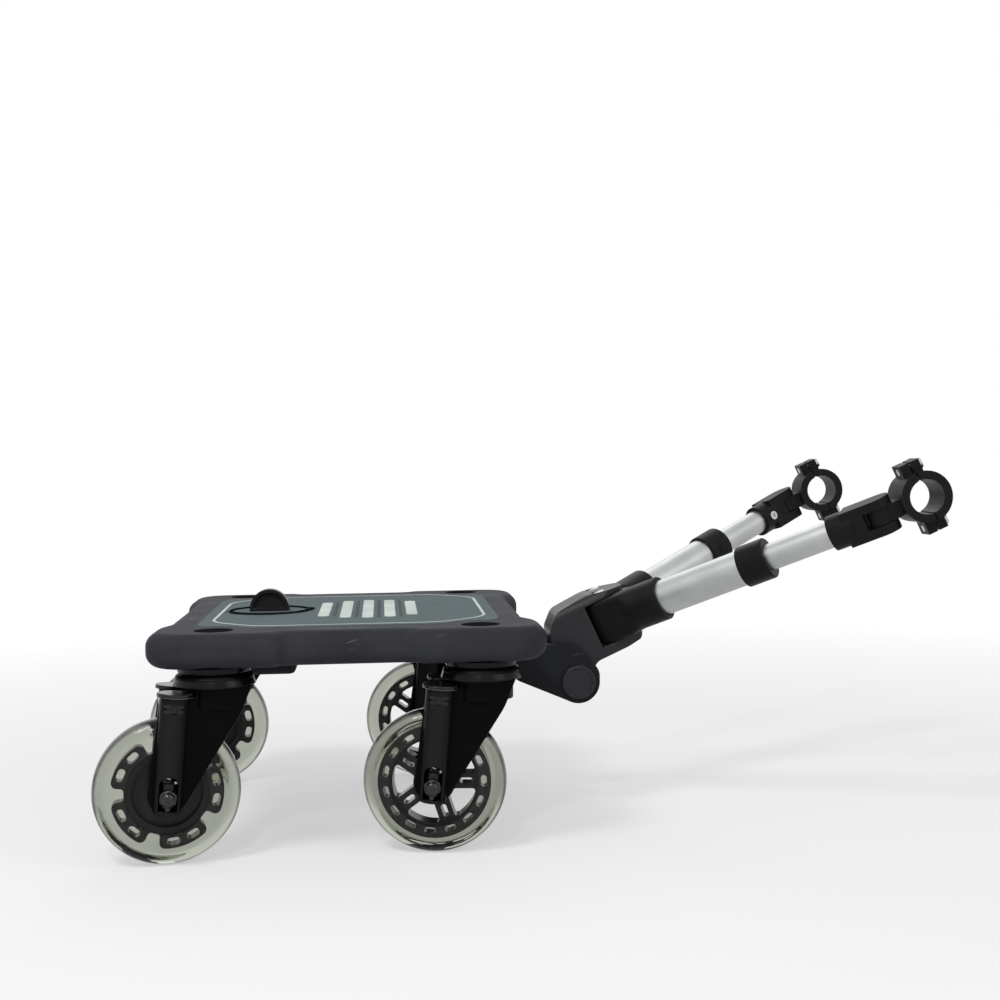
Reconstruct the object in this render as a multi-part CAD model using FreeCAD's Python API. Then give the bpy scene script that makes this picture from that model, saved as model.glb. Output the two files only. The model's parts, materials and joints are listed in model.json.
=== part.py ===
import FreeCAD
import Part
import math
import os

# Buggy board: a standing deck on four sprung casters, with a hinged twin-arm coupling.
# Millimetres and degrees. +X points at the pushchair, +Y to the board's left, +Z up.
# The pieces are built about a point on the floor under the middle of the deck, then
# moved so that the origin is the bottom centre of the whole part.

# Clearances
running_clearance = 0.05
sliding_clearance = 0.15
air_gap = 0.3
cut_overrun = 40.0

# Deck moulding
deck_top = 158.0
deck_thickness = 24.0
deck_half_length = 138.0
deck_half_width = 158.0
side_inset = 9.0
front_inset = 9.0
rear_inset = 6.0
lobe_length = 89.0
lobe_width = 58.0
notch_run = 7.4
end_notch_run = 22.0
lobe_corner_radius = 46.0
notch_outer_radius = 14.0
notch_inner_radius = 10.0
end_notch_radius = 30.0
bullnose_radius = 10.0
deck_skin = 6.0
rim_width = 17.0
rib_thickness = 3.0
rib_pitch = 43.0
boss_margin = 3.0

# Printed grip panel let into the deck
panel_half_length = 108.0
panel_half_width = 119.0
panel_thickness = 1.2
panel_recess = 1.0
panel_corner_radius = 34.0
panel_scallop_radius = 25.0
panel_knob_margin = 2.5

# Caster places, measured in from the deck's ends and sides, and the swivel angles at which they stand
caster_end_margin = 46.0
caster_side_margin = 29.0
swivel_angles = {"rear_right": 9.5, "front_right": -6.0, "rear_left": 4.0, "front_left": -3.0}

# Kingpins and the caps that hide their nuts
kingpin_radius = 5.0
kingpin_head_radius = 8.0
kingpin_head_height = 4.0
kingpin_nut_radius = 9.0
kingpin_nut_height = 7.0
cap_radius = 12.0
cap_thickness = 3.0
cap_rounding = 0.8
cap_ledge = 2.0
cap_groove_width = 1.6
cap_groove_depth = 1.4
cup_radius = 25.0
cup_height = 5.0

# Sprung fork
wheel_radius = 50.0
caster_trail = 33.4
strut_lean = 5.0
suspension_travel = 8.0
arch_clearance = 3.0
fork_half_gap = 13.2
fork_plate_thickness = 5.0
fork_end_radius = 13.5
fork_edge_rounding = 1.2
collar_radius = 27.0
collar_height = 7.5
collar_rounding = 2.5
crown_radius = 22.0
crown_height = 14.0
kingpin_depth = 13.0
brow_reach = 24.0
knee_reach = 16.5
knee_drop = 18.5
shoulder_back = 14.0
strut_radius = 9.5
strut_offset = 20.6
strut_top = 67.0
strut_tail = 9.0
strut_bore_radius = 6.2
slot_half_width = 6.3
slot_top = 14.5
latch_drop = 7.5
latch_width = 13.6
latch_height = 6.4
latch_groove_depth = 1.3
latch_groove_width = 3.6
latch_groove_height = 1.0

# Strut caps, shoes and springs
plug_length = 10.0
flange_radius = 12.0
flange_thickness = 2.6
flange_rounding = 0.8
shoe_below = 7.0
shoe_above = 9.0
spring_mean_radius = 4.5
spring_wire_radius = 0.9
spring_turns = 7

# Axles and ball bearings
axle_radius = 4.0
axle_head_radius = 5.8
axle_head_height = 3.6
axle_head_rounding = 2.4
nut_engagement = 2.0
spacer_radius = 6.0
bearing_outer_radius = 11.0
bearing_width = 7.0
bearing_shield_recess = 0.5
bearing_inner_race = 1.9
bearing_outer_race = 2.2

# Wheels
tyre_width = 25.0
tyre_shoulder_radius = 11.0
tyre_inner_width = 21.0
hub_boss_radius = 14.5
hub_half_width = 11.0
hub_shoulder_radius = 9.0
rim_half_width = 8.0
dish_half_thickness = 3.0
rear_ring_inner = 24.0
rear_ring_outer = 29.0
rear_segment_outer = 38.2
rear_segment_count = 5
rear_segment_angle = 56.0
rear_segment_rounding = 4.0
rear_gap_rounding = 2.5
rear_slot_spread = 24.0
rear_slot_length = 9.0
rear_slot_width = 5.0
front_ring_inner = 29.3
front_ring_outer = 39.5
front_tyre_inner = 31.0
front_slot_count = 15
front_slot_length = 8.2
front_slot_width = 4.0
spoke_count = 5
spoke_width = 11.0
spoke_half_thickness = 6.5
spoke_root = 1.5
spoke_rounding = 2.2
spoke_slot_width = 4.0
spoke_slot_inner = 17.5
spoke_slot_outer = 26.5

# Twist plug in the deck, and its housing below
knob_rear_margin = 45.0
knob_flange_radius = 31.0
knob_flange_thickness = 3.5
knob_rim_rounding = 1.0
grip_radius = 15.0
grip_lift = 2.0
grip_thickness = 9.0
grip_rim = 2.6
grip_web = 4.0
stem_radius = 15.0
housing_half_size = 20.0
housing_depth = 23.0
housing_floor = 4.0
housing_rounding = 6.0
bayonet_reach = 1.8
bayonet_height = 5.0
bayonet_angle = 40.0
bayonet_lift = 4.0

# Hinge bracket under the front edge of the deck, measured from the deck's front end
hinge_reach = 35.0
hinge_height = 101.0
hinge_pin_radius = 6.0
hinge_cap_radius = 13.0
hinge_cap_thickness = 3.5
hinge_cap_rounding = 1.2
hinge_cap_lip = 2.4
hinge_cap_recess = 0.9
lug_radius = 16.5
lug_thickness = 7.5
lug_top_drop = 4.0
lug_shoulder_rounding = 20.0
bracket_plate_thickness = 6.0
bracket_back_margin = 42.0
bracket_front_margin = 12.0
bracket_heel_margin = 26.0
bracket_knee_margin = 15.0
bracket_knee_drop = 29.5
bracket_knee_rounding = 15.0
bracket_screw_radius = 2.5
bracket_screw_head_radius = 4.5
bracket_screw_head_height = 2.5
bracket_screw_socket_radius = 2.4
bracket_screw_socket_depth = 1.6
bracket_screw_grip = 12.0
bracket_screw_edge = 8.0

# Yoke, written along the arms (u) and square to them (n) from the middle of the arm pivots
pivot_reach = 27.0
pivot_lift = 46.6
pivot_half_spacing = 14.0
arm_incline = 24.4
arm_spread = 30.0
yoke_half_width = 23.0
barrel_radius = 14.0
jaw_half_gap = 17.3
upper_jaw_thickness = 7.2
lower_jaw_thickness = 7.7
jaw_tip = 20.0
jaw_tip_droop = 5.4
jaw_tip_half_width = 12.0
jaw_tip_rounding = 10.0
jaw_chin = 4.0
jaw_taper_start = 4.0
yoke_crown_rounding = 8.0
yoke_window_back = -15.0
yoke_brow = -10.0
yoke_heel = -47.0
yoke_heel_height = 12.0
yoke_nape = -36.0
yoke_nape_drop = 2.0
yoke_neck_front = -24.0
yoke_rounding = 9.0
arm_pin_radius = 4.0
arm_pin_head_radius = 5.5
arm_pin_head_height = 2.0
arm_pin_seat = 20.5

# Arms, written along each arm from its pivot
socket_knuckle_radius = 13.0
socket_half_width = 15.5
socket_half_height = 17.0
socket_neck = 8.0
socket_shoulder = 18.0
socket_length = 49.0
socket_seat = 20.0
socket_rounding = 2.5
outer_tube_radius = 13.5
inner_tube_radius = 10.0
tube_wall = 1.5
tube_collar_start = 117.0
tube_collar_seat = 4.0
tube_collar_length = 22.0
tube_collar_radius = 15.6
tube_collar_rounding = 1.5
tube_collar_sleeve = 14.0
lock_button_radius = 4.5
lock_button_height = 1.0
inner_tube_start = 65.0
fitting_start = 189.0
fitting_radius = 13.0
fitting_seat = 12.0
fitting_sleeve = 18.0
fitting_length = 37.0
fitting_half_width = 11.0

# Clamps at the outer ends of the arms, for a round frame tube
clamp_bore_radius = 12.5
clamp_wall = 6.0
clamp_half_width = 15.0
clamp_reach = 32.0
clamp_split = 1.5
clamp_tongue_radius = 9.0
clamp_tongue_half_height = 6.0
clamp_neck_half_width = 8.0
trunnion_radius = 4.0
clamp_ear_edge = 4.5
clamp_ear_depth = 7.5
clamp_ear_half_width = 8.0
clamp_screw_radius = 2.5
clamp_screw_margin = 1.0
clamp_screw_head_radius = 4.3
clamp_screw_head_height = 3.0
clamp_screw_socket_radius = 2.3
clamp_screw_socket_depth = 1.8

# Places worked out from the sizes above
deck_bottom = deck_top - deck_thickness
caster_half_spacing = deck_half_length - caster_end_margin
caster_half_track = deck_half_width - caster_side_margin
knob_x = knob_rear_margin - panel_half_length
hinge_x = deck_half_length + hinge_reach
bracket_back = deck_half_length - bracket_back_margin
bracket_front = deck_half_length - bracket_front_margin
bracket_heel = deck_half_length - bracket_heel_margin
bracket_knee_x = deck_half_length - bracket_knee_margin
pivot_x = hinge_x + pivot_reach
pivot_height = hinge_height + pivot_lift
cup_bottom = deck_bottom - cup_height
collar_top = cup_bottom - air_gap
collar_bottom = collar_top - collar_height
axle_x = -caster_trail
axle_z = wheel_radius
fork_half_width = fork_half_gap + fork_plate_thickness
wheel_arch_radius = wheel_radius + suspension_travel + arch_clearance
kingpin_seat = collar_bottom - kingpin_depth
kingpin_nut_seat = deck_top - cap_thickness - kingpin_nut_height - cap_groove_depth
shoe_radius = strut_bore_radius - sliding_clearance
plug_radius = strut_bore_radius - sliding_clearance
shoe_outer = strut_offset + shoe_radius
lug_inner = yoke_half_width + air_gap
lug_outer = lug_inner + lug_thickness
lug_top = deck_bottom - lug_top_drop
fitting_pivot = fitting_start + fitting_length
clevis_half_gap = clamp_tongue_half_height + air_gap
jaw_top = jaw_half_gap + upper_jaw_thickness
jaw_bottom = -jaw_half_gap - lower_jaw_thickness

X_AXIS = FreeCAD.Vector(1, 0, 0)
Y_AXIS = FreeCAD.Vector(0, 1, 0)
Z_AXIS = FreeCAD.Vector(0, 0, 1)
ORIGIN = FreeCAD.Vector(0, 0, 0)
full_turn = 360.0
quarter_turn = 90.0
hexagon_sides = 6
corner_reach_share = 0.49
same_point = 1e-6

nodes = {}


def at(x, y, z):
    return FreeCAD.Vector(x, y, z)


def plan_view(level):
    """Outline points are (x, y) at one height."""
    return lambda a, b: at(a, b, level)


def side_view(depth):
    """Outline points are (x, z) at one y."""
    return lambda a, b: at(a, depth, b)


def end_view(place):
    """Outline points are (y, z) at one x."""
    return lambda a, b: at(place, a, b)


def rounded_face(corners, view):
    """A flat face through corners (a, b, rounding), each rounded as far as its two sides allow."""
    points = [view(a, b) for a, b, rounding in corners]
    count = len(points)
    bends = []
    for index in range(count):
        corner = points[index]
        back = points[index - 1] - corner
        ahead = points[(index + 1) % count] - corner
        half_angle = back.getAngle(ahead) / 2
        room = corner_reach_share * min(back.Length, ahead.Length)
        tangent = min(corners[index][2] / math.tan(half_angle), room)
        back.normalize()
        ahead.normalize()
        radius = tangent * math.tan(half_angle)
        bisector = (back + ahead).normalize()
        middle = corner + bisector * (radius / math.sin(half_angle) - radius)
        bends.append((corner + back * tangent, middle, corner + ahead * tangent))
    edges = []
    for index in range(count):
        start, middle, end = bends[index]
        following = bends[(index + 1) % count][0]
        if not start.isEqual(end, same_point):
            edges.append(Part.Arc(start, middle, end).toShape())
        if not end.isEqual(following, same_point):
            edges.append(Part.makeLine(end, following))
    return Part.Face(Part.Wire(edges))


def rectangle(low_a, low_b, high_a, high_b, rounding):
    return [(low_a, low_b, rounding), (high_a, low_b, rounding),
            (high_a, high_b, rounding), (low_a, high_b, rounding)]


def slab(low, high):
    """A box between two corners."""
    size = high - low
    return Part.makeBox(size.x, size.y, size.z, low)


def rod(radius, start, end):
    """A cylinder between two points."""
    span = end - start
    return Part.makeCylinder(radius, span.Length, start, span)


def hexagon(radius, height):
    """A six-sided bar standing on the origin along Z, measured to its corners."""
    corners = []
    for index in range(hexagon_sides):
        angle = math.radians(full_turn * index / hexagon_sides)
        corners.append((radius * math.cos(angle), radius * math.sin(angle), 0))
    return rounded_face(corners, plan_view(0)).extrude(Z_AXIS * height)


def pipe(inner, outer, start, end):
    return rod(outer, start, end).cut(rod(inner, start, end))


def level_edges(shape, height):
    """Edges that lie flat at one height."""
    return [edge for edge in shape.Edges
            if abs(edge.BoundBox.ZMin - height) < same_point + edge.Tolerance
            and abs(edge.BoundBox.ZMax - height) < same_point + edge.Tolerance]


def side_edges(shape, depth):
    """Edges that lie in one upright plane along the board."""
    return [edge for edge in shape.Edges
            if abs(edge.BoundBox.YMin - depth) < same_point + edge.Tolerance
            and abs(edge.BoundBox.YMax - depth) < same_point + edge.Tolerance]


def cross_edges(shape, radius, length):
    """Straight edges of one length that run across a wheel at one distance from its axis."""
    found = []
    for edge in shape.Edges:
        start = edge.Vertexes[0].Point
        end = edge.Vertexes[-1].Point
        across = math.hypot(start.x - end.x, start.z - end.z) < same_point + edge.Tolerance
        placed = abs(math.hypot(start.x, start.z) - radius) < same_point + edge.Tolerance
        if across and placed and abs(edge.Length - length) < same_point + edge.Tolerance:
            found.append(edge)
    return found


def turned(corners, axis):
    """A solid turned from corners (radius, along, rounding) about Y or Z."""
    view = plan_view(0) if axis == Y_AXIS else side_view(0)
    return rounded_face(corners, view).revolve(ORIGIN, axis, full_turn)


def domed(radius, height, rounding, axis):
    """A button with one rounded end, standing on the origin along Y or Z."""
    return turned([(0, 0, 0), (radius, 0, 0), (radius, height, rounding), (0, height, 0)], axis)


def moved(shape, offset):
    copy = shape.copy()
    copy.translate(offset)
    return copy


def spun(shape, axis, angle):
    copy = shape.copy()
    copy.rotate(ORIGIN, axis, angle)
    return copy


def ring_of(shape, axis, count):
    """Copies of a shape at even angles about an axis through the origin."""
    return [spun(shape, axis, full_turn * index / count) for index in range(count)]


def mirrored(shape):
    return shape.mirror(ORIGIN, Y_AXIS)


def both_sides(shape):
    return [shape, mirrored(shape)]


def caster_places():
    """Name and swivel point of each caster."""
    for end, sign_x in (("rear", -1), ("front", 1)):
        for side, sign_y in (("right", -1), ("left", 1)):
            yield end + "_" + side, at(sign_x * caster_half_spacing, sign_y * caster_half_track, 0)


def add(name, solids):
    nodes[name] = Part.makeCompound(solids) if isinstance(solids, list) else solids


# Deck and what is fixed to it

def deck_corners():
    """The deck's plan: four rounded lobes, with the sides and ends drawn in between them."""
    def quarter(sign, inset):
        end = sign * deck_half_length
        notch = sign * (deck_half_length - lobe_length)
        return [(notch - sign * notch_run, deck_half_width - side_inset, notch_inner_radius),
                (notch, deck_half_width, notch_outer_radius),
                (end, deck_half_width, lobe_corner_radius),
                (end, deck_half_width - lobe_width, end_notch_radius),
                (end - sign * inset, deck_half_width - lobe_width - end_notch_run, end_notch_radius)]

    front = quarter(1, front_inset)
    rear = quarter(-1, rear_inset)
    left = front[::-1] + rear
    right = [(x, -y, rounding) for x, y, rounding in left[::-1]]
    return left + right


def panel_face(level):
    """The grip panel: a rounded sheet scalloped round the corner caps, with a hole for the twist plug."""
    corners = rectangle(-panel_half_length, -panel_half_width, panel_half_length, panel_half_width,
                        panel_corner_radius)
    sheet = rounded_face(corners, plan_view(level)).extrude(Z_AXIS * panel_thickness)
    for name, place in caster_places():
        foot = place + Z_AXIS * (level - cut_overrun)
        sheet = sheet.cut(rod(panel_scallop_radius, foot, foot + Z_AXIS * (2 * cut_overrun)))
    foot = at(knob_x, 0, level - cut_overrun)
    return sheet.cut(rod(knob_flange_radius + panel_knob_margin, foot, foot + Z_AXIS * (2 * cut_overrun)))


def deck_pockets():
    """The hollow between the ribs under the deck, clear of the bosses."""
    low = at(rear_inset + rim_width - deck_half_length, side_inset + rim_width - deck_half_width,
             deck_bottom - cut_overrun)
    high = at(deck_half_length - front_inset - rim_width, deck_half_width - side_inset - rim_width,
              deck_top - deck_skin)
    field = slab(low, high)
    solid_parts = []
    for index in range(-int(deck_half_length / rib_pitch), int(deck_half_length / rib_pitch) + 1):
        middle = index * rib_pitch
        solid_parts.append(slab(at(middle - rib_thickness / 2, low.y, low.z),
                                at(middle + rib_thickness / 2, high.y, high.z)))
    for index in range(-int(deck_half_width / rib_pitch), int(deck_half_width / rib_pitch) + 1):
        middle = index * rib_pitch
        solid_parts.append(slab(at(low.x, middle - rib_thickness / 2, low.z),
                                at(high.x, middle + rib_thickness / 2, high.z)))
    for name, place in caster_places():
        foot = place + Z_AXIS * low.z
        solid_parts.append(rod(cup_radius + boss_margin, foot, place + Z_AXIS * high.z))
    pad = housing_half_size + boss_margin
    solid_parts.append(slab(at(knob_x - pad, -pad, low.z), at(knob_x + pad, pad, high.z)))
    solid_parts.append(slab(at(bracket_back - boss_margin, -lug_outer - boss_margin, low.z),
                            at(deck_half_length, lug_outer + boss_margin, high.z)))
    return field.cut(solid_parts)


def bracket_screw_places():
    for x in (bracket_back + bracket_screw_edge, bracket_front - bracket_screw_edge):
        for y in (bracket_screw_edge - lug_inner, lug_inner - bracket_screw_edge):
            yield x, y


def make_deck():
    shell = rounded_face(deck_corners(), plan_view(deck_bottom)).extrude(Z_AXIS * deck_thickness)
    shell = shell.makeFillet(bullnose_radius, level_edges(shell, deck_top) + level_edges(shell, deck_bottom))
    cuts = [deck_pockets(), panel_face(deck_top - panel_recess)]
    lift = Z_AXIS * deck_top
    for name, place in caster_places():
        top = place + lift
        cuts.append(rod(kingpin_radius, place + Z_AXIS * (deck_bottom - cut_overrun), top))
        cuts.append(rod(cap_radius - cap_ledge, place + Z_AXIS * kingpin_nut_seat, top))
        cuts.append(rod(cap_radius, top - Z_AXIS * cap_thickness, top + Z_AXIS * cut_overrun))
        cuts.append(rod(cap_radius + cap_groove_width, top - Z_AXIS * cap_groove_depth,
                        top + Z_AXIS * cut_overrun))
    knob_top = at(knob_x, 0, deck_top)
    cuts.append(rod(knob_flange_radius + sliding_clearance, knob_top - Z_AXIS * knob_flange_thickness,
                    knob_top + Z_AXIS * cut_overrun))
    cuts.append(rod(stem_radius + sliding_clearance, at(knob_x, 0, deck_bottom - cut_overrun), knob_top))
    for x, y in bracket_screw_places():
        cuts.append(rod(bracket_screw_radius, at(x, y, deck_bottom - cut_overrun),
                        at(x, y, deck_bottom + bracket_screw_grip)))
    for cut in cuts:
        shell = shell.cut(cut)
    add("deck_shell", shell)
    add("grip_panel", panel_face(deck_top - panel_recess))


def make_deck_fittings():
    caps = []
    kingpins = []
    cups = []
    cap = domed(cap_radius, cap_thickness, cap_rounding, Z_AXIS)
    cup = turned([(kingpin_radius, 0, 0), (cup_radius, 0, collar_rounding), (cup_radius, cup_height, 0),
                  (kingpin_radius, cup_height, 0)], Z_AXIS)
    for name, place in caster_places():
        caps.append(moved(cap, place + Z_AXIS * (deck_top - cap_thickness)))
        cups.append(moved(cup, place + Z_AXIS * cup_bottom))
        head = place + Z_AXIS * (kingpin_seat - kingpin_head_height)
        nut = place + Z_AXIS * kingpin_nut_seat
        shank = rod(kingpin_radius, head, nut + Z_AXIS * kingpin_nut_height)
        kingpins.append(shank.fuse(moved(hexagon(kingpin_head_radius, kingpin_head_height), head)))
        kingpins.append(moved(hexagon(kingpin_nut_radius, kingpin_nut_height), nut).cut(shank))
    add("corner_caps", caps)
    add("kingpins", kingpins)
    add("swivel_cups", cups)


def make_knob():
    """A quarter-turn plug with a standing half-disc grip, held by a bayonet in its housing."""
    seat = at(knob_x, 0, deck_top - knob_flange_thickness)
    flange = moved(domed(knob_flange_radius, knob_flange_thickness, knob_rim_rounding, Z_AXIS), seat)
    stem_foot = at(knob_x, 0, deck_bottom - housing_depth + housing_floor + air_gap)
    stem = rod(stem_radius, stem_foot, seat)
    grip_centre = at(knob_x, 0, deck_top + grip_lift)
    half = Y_AXIS * (grip_thickness / 2)
    web = Y_AXIS * (grip_web / 2)
    grip = rod(grip_radius, grip_centre - half, grip_centre + half)
    for side in (-1, 1):
        hollow = rod(grip_radius - grip_rim, grip_centre + web * side, grip_centre + half * side)
        grip = grip.cut(hollow.cut(slab(at(knob_x - grip_radius, -grip_thickness, 0),
                                        at(knob_x + grip_radius, grip_thickness, deck_top + grip_rim))))
    skirt = slab(at(knob_x - grip_radius, -grip_thickness / 2, deck_top - knob_rim_rounding),
                 at(knob_x + grip_radius, grip_thickness / 2, deck_top + grip_lift))
    below = slab(at(knob_x - grip_radius, -grip_thickness, 0),
                 at(knob_x + grip_radius, grip_thickness, deck_top - knob_rim_rounding))
    lug_foot = stem_foot + Z_AXIS * bayonet_lift
    lug = rounded_face(rectangle(0, 0, stem_radius + bayonet_reach, bayonet_height, 0), side_view(0))
    lug = spun(lug.revolve(ORIGIN, Z_AXIS, bayonet_angle), Z_AXIS, -bayonet_angle / 2)
    lugs = [moved(spun(lug, Z_AXIS, angle), lug_foot) for angle in (0, full_turn / 2)]
    add("twist_plug", flange.fuse([stem, grip.cut(below), skirt] + lugs).removeSplitter())

    top = at(knob_x, 0, deck_bottom)
    outline = rectangle(knob_x - housing_half_size, -housing_half_size, knob_x + housing_half_size,
                        housing_half_size, housing_rounding)
    housing = rounded_face(outline, plan_view(deck_bottom - housing_depth)).extrude(Z_AXIS * housing_depth)
    floor_edges = level_edges(housing, deck_bottom - housing_depth)
    housing = housing.makeFillet(housing_floor - air_gap, floor_edges)
    bore = rod(stem_radius + sliding_clearance, stem_foot - Z_AXIS * air_gap, top)
    groove_foot = lug_foot - Z_AXIS * air_gap
    groove_top = lug_foot + Z_AXIS * (bayonet_height + air_gap)
    groove = rod(stem_radius + bayonet_reach + air_gap, groove_foot, groove_top)
    add("plug_housing", housing.cut([bore, groove]))


def make_hinge_bracket():
    pin = at(hinge_x, 0, hinge_height)
    plate = slab(at(bracket_back, -lug_outer, deck_bottom - bracket_plate_thickness),
                 at(bracket_front, lug_outer, deck_bottom))
    knee_z = deck_bottom - bracket_knee_drop
    outline = [(bracket_heel, lug_top, 0), (hinge_x, lug_top, lug_shoulder_rounding),
               (hinge_x + lug_radius, hinge_height + lug_radius / 2, lug_shoulder_rounding),
               (hinge_x + lug_radius, hinge_height, 0), (hinge_x, hinge_height, 0),
               (hinge_x - lug_radius / 2, hinge_height - lug_radius * math.cos(math.pi / 6), 0),
               (bracket_knee_x, knee_z, bracket_knee_rounding)]
    lug = rounded_face(outline, side_view(lug_inner)).extrude(Y_AXIS * lug_thickness)
    lug = lug.fuse(rod(lug_radius, pin + Y_AXIS * lug_inner, pin + Y_AXIS * lug_outer))
    bracket = plate.fuse(both_sides(lug))
    bracket = bracket.cut(rod(hinge_pin_radius, pin - Y_AXIS * lug_outer, pin + Y_AXIS * lug_outer))
    screws = []
    for x, y in bracket_screw_places():
        seat = at(x, y, deck_bottom - bracket_plate_thickness)
        tip = at(x, y, deck_bottom + bracket_screw_grip)
        bracket = bracket.cut(rod(bracket_screw_radius, seat, tip))
        head_face = seat - Z_AXIS * bracket_screw_head_height
        key = moved(hexagon(bracket_screw_socket_radius, bracket_screw_socket_depth), head_face)
        head = rod(bracket_screw_head_radius, head_face, seat).cut(key)
        screws.append(rod(bracket_screw_radius, seat, tip).fuse(head))
    add("hinge_bracket", bracket.removeSplitter())
    add("bracket_screws", screws)
    button = domed(hinge_cap_radius, hinge_cap_thickness, hinge_cap_rounding, Y_AXIS)
    recess_floor = Y_AXIS * (hinge_cap_thickness - hinge_cap_recess)
    button = button.cut(rod(hinge_cap_radius - hinge_cap_lip, recess_floor, Y_AXIS * hinge_cap_thickness))
    cap = moved(button, pin + Y_AXIS * lug_outer)
    shank = rod(hinge_pin_radius, pin - Y_AXIS * lug_outer, pin + Y_AXIS * lug_outer)
    head = moved(mirrored(button), pin - Y_AXIS * lug_outer)
    add("hinge_pin", [shank.fuse(head), cap])


# Casters, built about their own swivel axis with the wheel trailing to -X

def strut_point(along, y):
    """A point on the strut's axis, measured up from the axle."""
    lean = math.radians(strut_lean)
    return at(axle_x + along * math.sin(lean), y, axle_z + along * math.cos(lean))


def on_strut(shape):
    """Stands a shape, built up from the origin, on the axle along the left strut."""
    return moved(spun(shape, Y_AXIS, strut_lean), strut_point(0, strut_offset))


def tangent_point(point_x, point_z):
    """Where a line from a point ahead of the axle touches the fork's round end."""
    run = point_x - axle_x
    rise = point_z - axle_z
    distance = math.hypot(run, rise)
    angle = math.atan2(rise, run) - math.acos(fork_end_radius / distance)
    return axle_x + fork_end_radius * math.cos(angle), axle_z + fork_end_radius * math.sin(angle)


def make_fork():
    """A moulded fork: crown and collar over two cheeks, each with a strut tube and an axle slot."""
    lean = math.radians(strut_lean)
    knee_z = collar_bottom - knee_drop
    toe_x, toe_z = tangent_point(knee_reach, knee_z)
    heel = strut_point(0, 0) - at(math.cos(lean), 0, -math.sin(lean)) * fork_end_radius
    strut_head = strut_point(strut_top, 0)
    shoulder = strut_head - at(math.cos(lean), 0, -math.sin(lean)) * strut_radius
    ledge_z = strut_head.z + (strut_head.x + shoulder_back) * math.tan(lean)
    outline = [(brow_reach, collar_bottom, 0), (knee_reach, knee_z, wheel_radius), (toe_x, toe_z, 0),
               (axle_x, axle_z, 0), (heel.x, heel.z, 0), (shoulder.x, shoulder.z, 0),
               (-shoulder_back, ledge_z, 0), (-shoulder_back, collar_bottom, 0)]
    cheeks = rounded_face(outline, side_view(-fork_half_width)).extrude(Y_AXIS * (2 * fork_half_width))
    axle = at(axle_x, 0, axle_z)
    round_end = rod(fork_end_radius, axle - Y_AXIS * fork_half_width, axle + Y_AXIS * fork_half_width)
    cheeks = cheeks.fuse(round_end).removeSplitter()
    rims = side_edges(cheeks, -fork_half_width) + side_edges(cheeks, fork_half_width)
    cheeks = cheeks.makeFillet(fork_edge_rounding, rims)
    crown = rod(crown_radius, at(0, 0, collar_bottom - crown_height), at(0, 0, collar_top))
    collar = turned([(0, collar_bottom, 0), (collar_radius, collar_bottom, collar_rounding),
                     (collar_radius, collar_top, collar_rounding), (0, collar_top, 0)], Z_AXIS)
    strut = rod(strut_radius, strut_point(-strut_tail, strut_offset), strut_point(strut_top, strut_offset))
    fork = cheeks.fuse([crown, collar] + both_sides(strut))
    fork = fork.cut(rod(wheel_arch_radius, axle - Y_AXIS * fork_half_gap, axle + Y_AXIS * fork_half_gap))

    bore = rod(strut_bore_radius, strut_point(-strut_tail - fork_end_radius, strut_offset),
               strut_point(strut_top, strut_offset))
    fork = fork.cut(both_sides(bore))
    arch_place = slot_top - slot_half_width
    window = rod(slot_half_width, at(0, 0, arch_place), at(0, 2 * strut_radius, arch_place))
    window = window.fuse(slab(at(-slot_half_width, 0, -strut_tail - fork_end_radius),
                              at(slot_half_width, 2 * strut_radius, arch_place)))
    latch = slab(at(-latch_width / 2, 0, strut_top - latch_drop - latch_height / 2),
                 at(latch_width / 2, 2 * strut_radius, strut_top - latch_drop + latch_height / 2))
    guide_radius = axle_radius + sliding_clearance
    inward = -Y_AXIS * strut_offset
    guide = rod(guide_radius, inward, ORIGIN)
    guide = guide.fuse(rod(guide_radius, inward + Z_AXIS * suspension_travel, Z_AXIS * suspension_travel))
    guide = guide.fuse(slab(at(-guide_radius, -strut_offset, 0), at(guide_radius, 0, suspension_travel)))
    for opening in (window, latch, guide):
        fork = fork.cut(both_sides(on_strut(opening)))

    low = at(0, 0, axle_z)
    fork = fork.cut(rod(kingpin_radius + running_clearance, low, at(0, 0, collar_top)))
    fork = fork.cut(rod(kingpin_head_radius + sliding_clearance, low, at(0, 0, kingpin_seat + air_gap)))
    return fork.removeSplitter()


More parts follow.
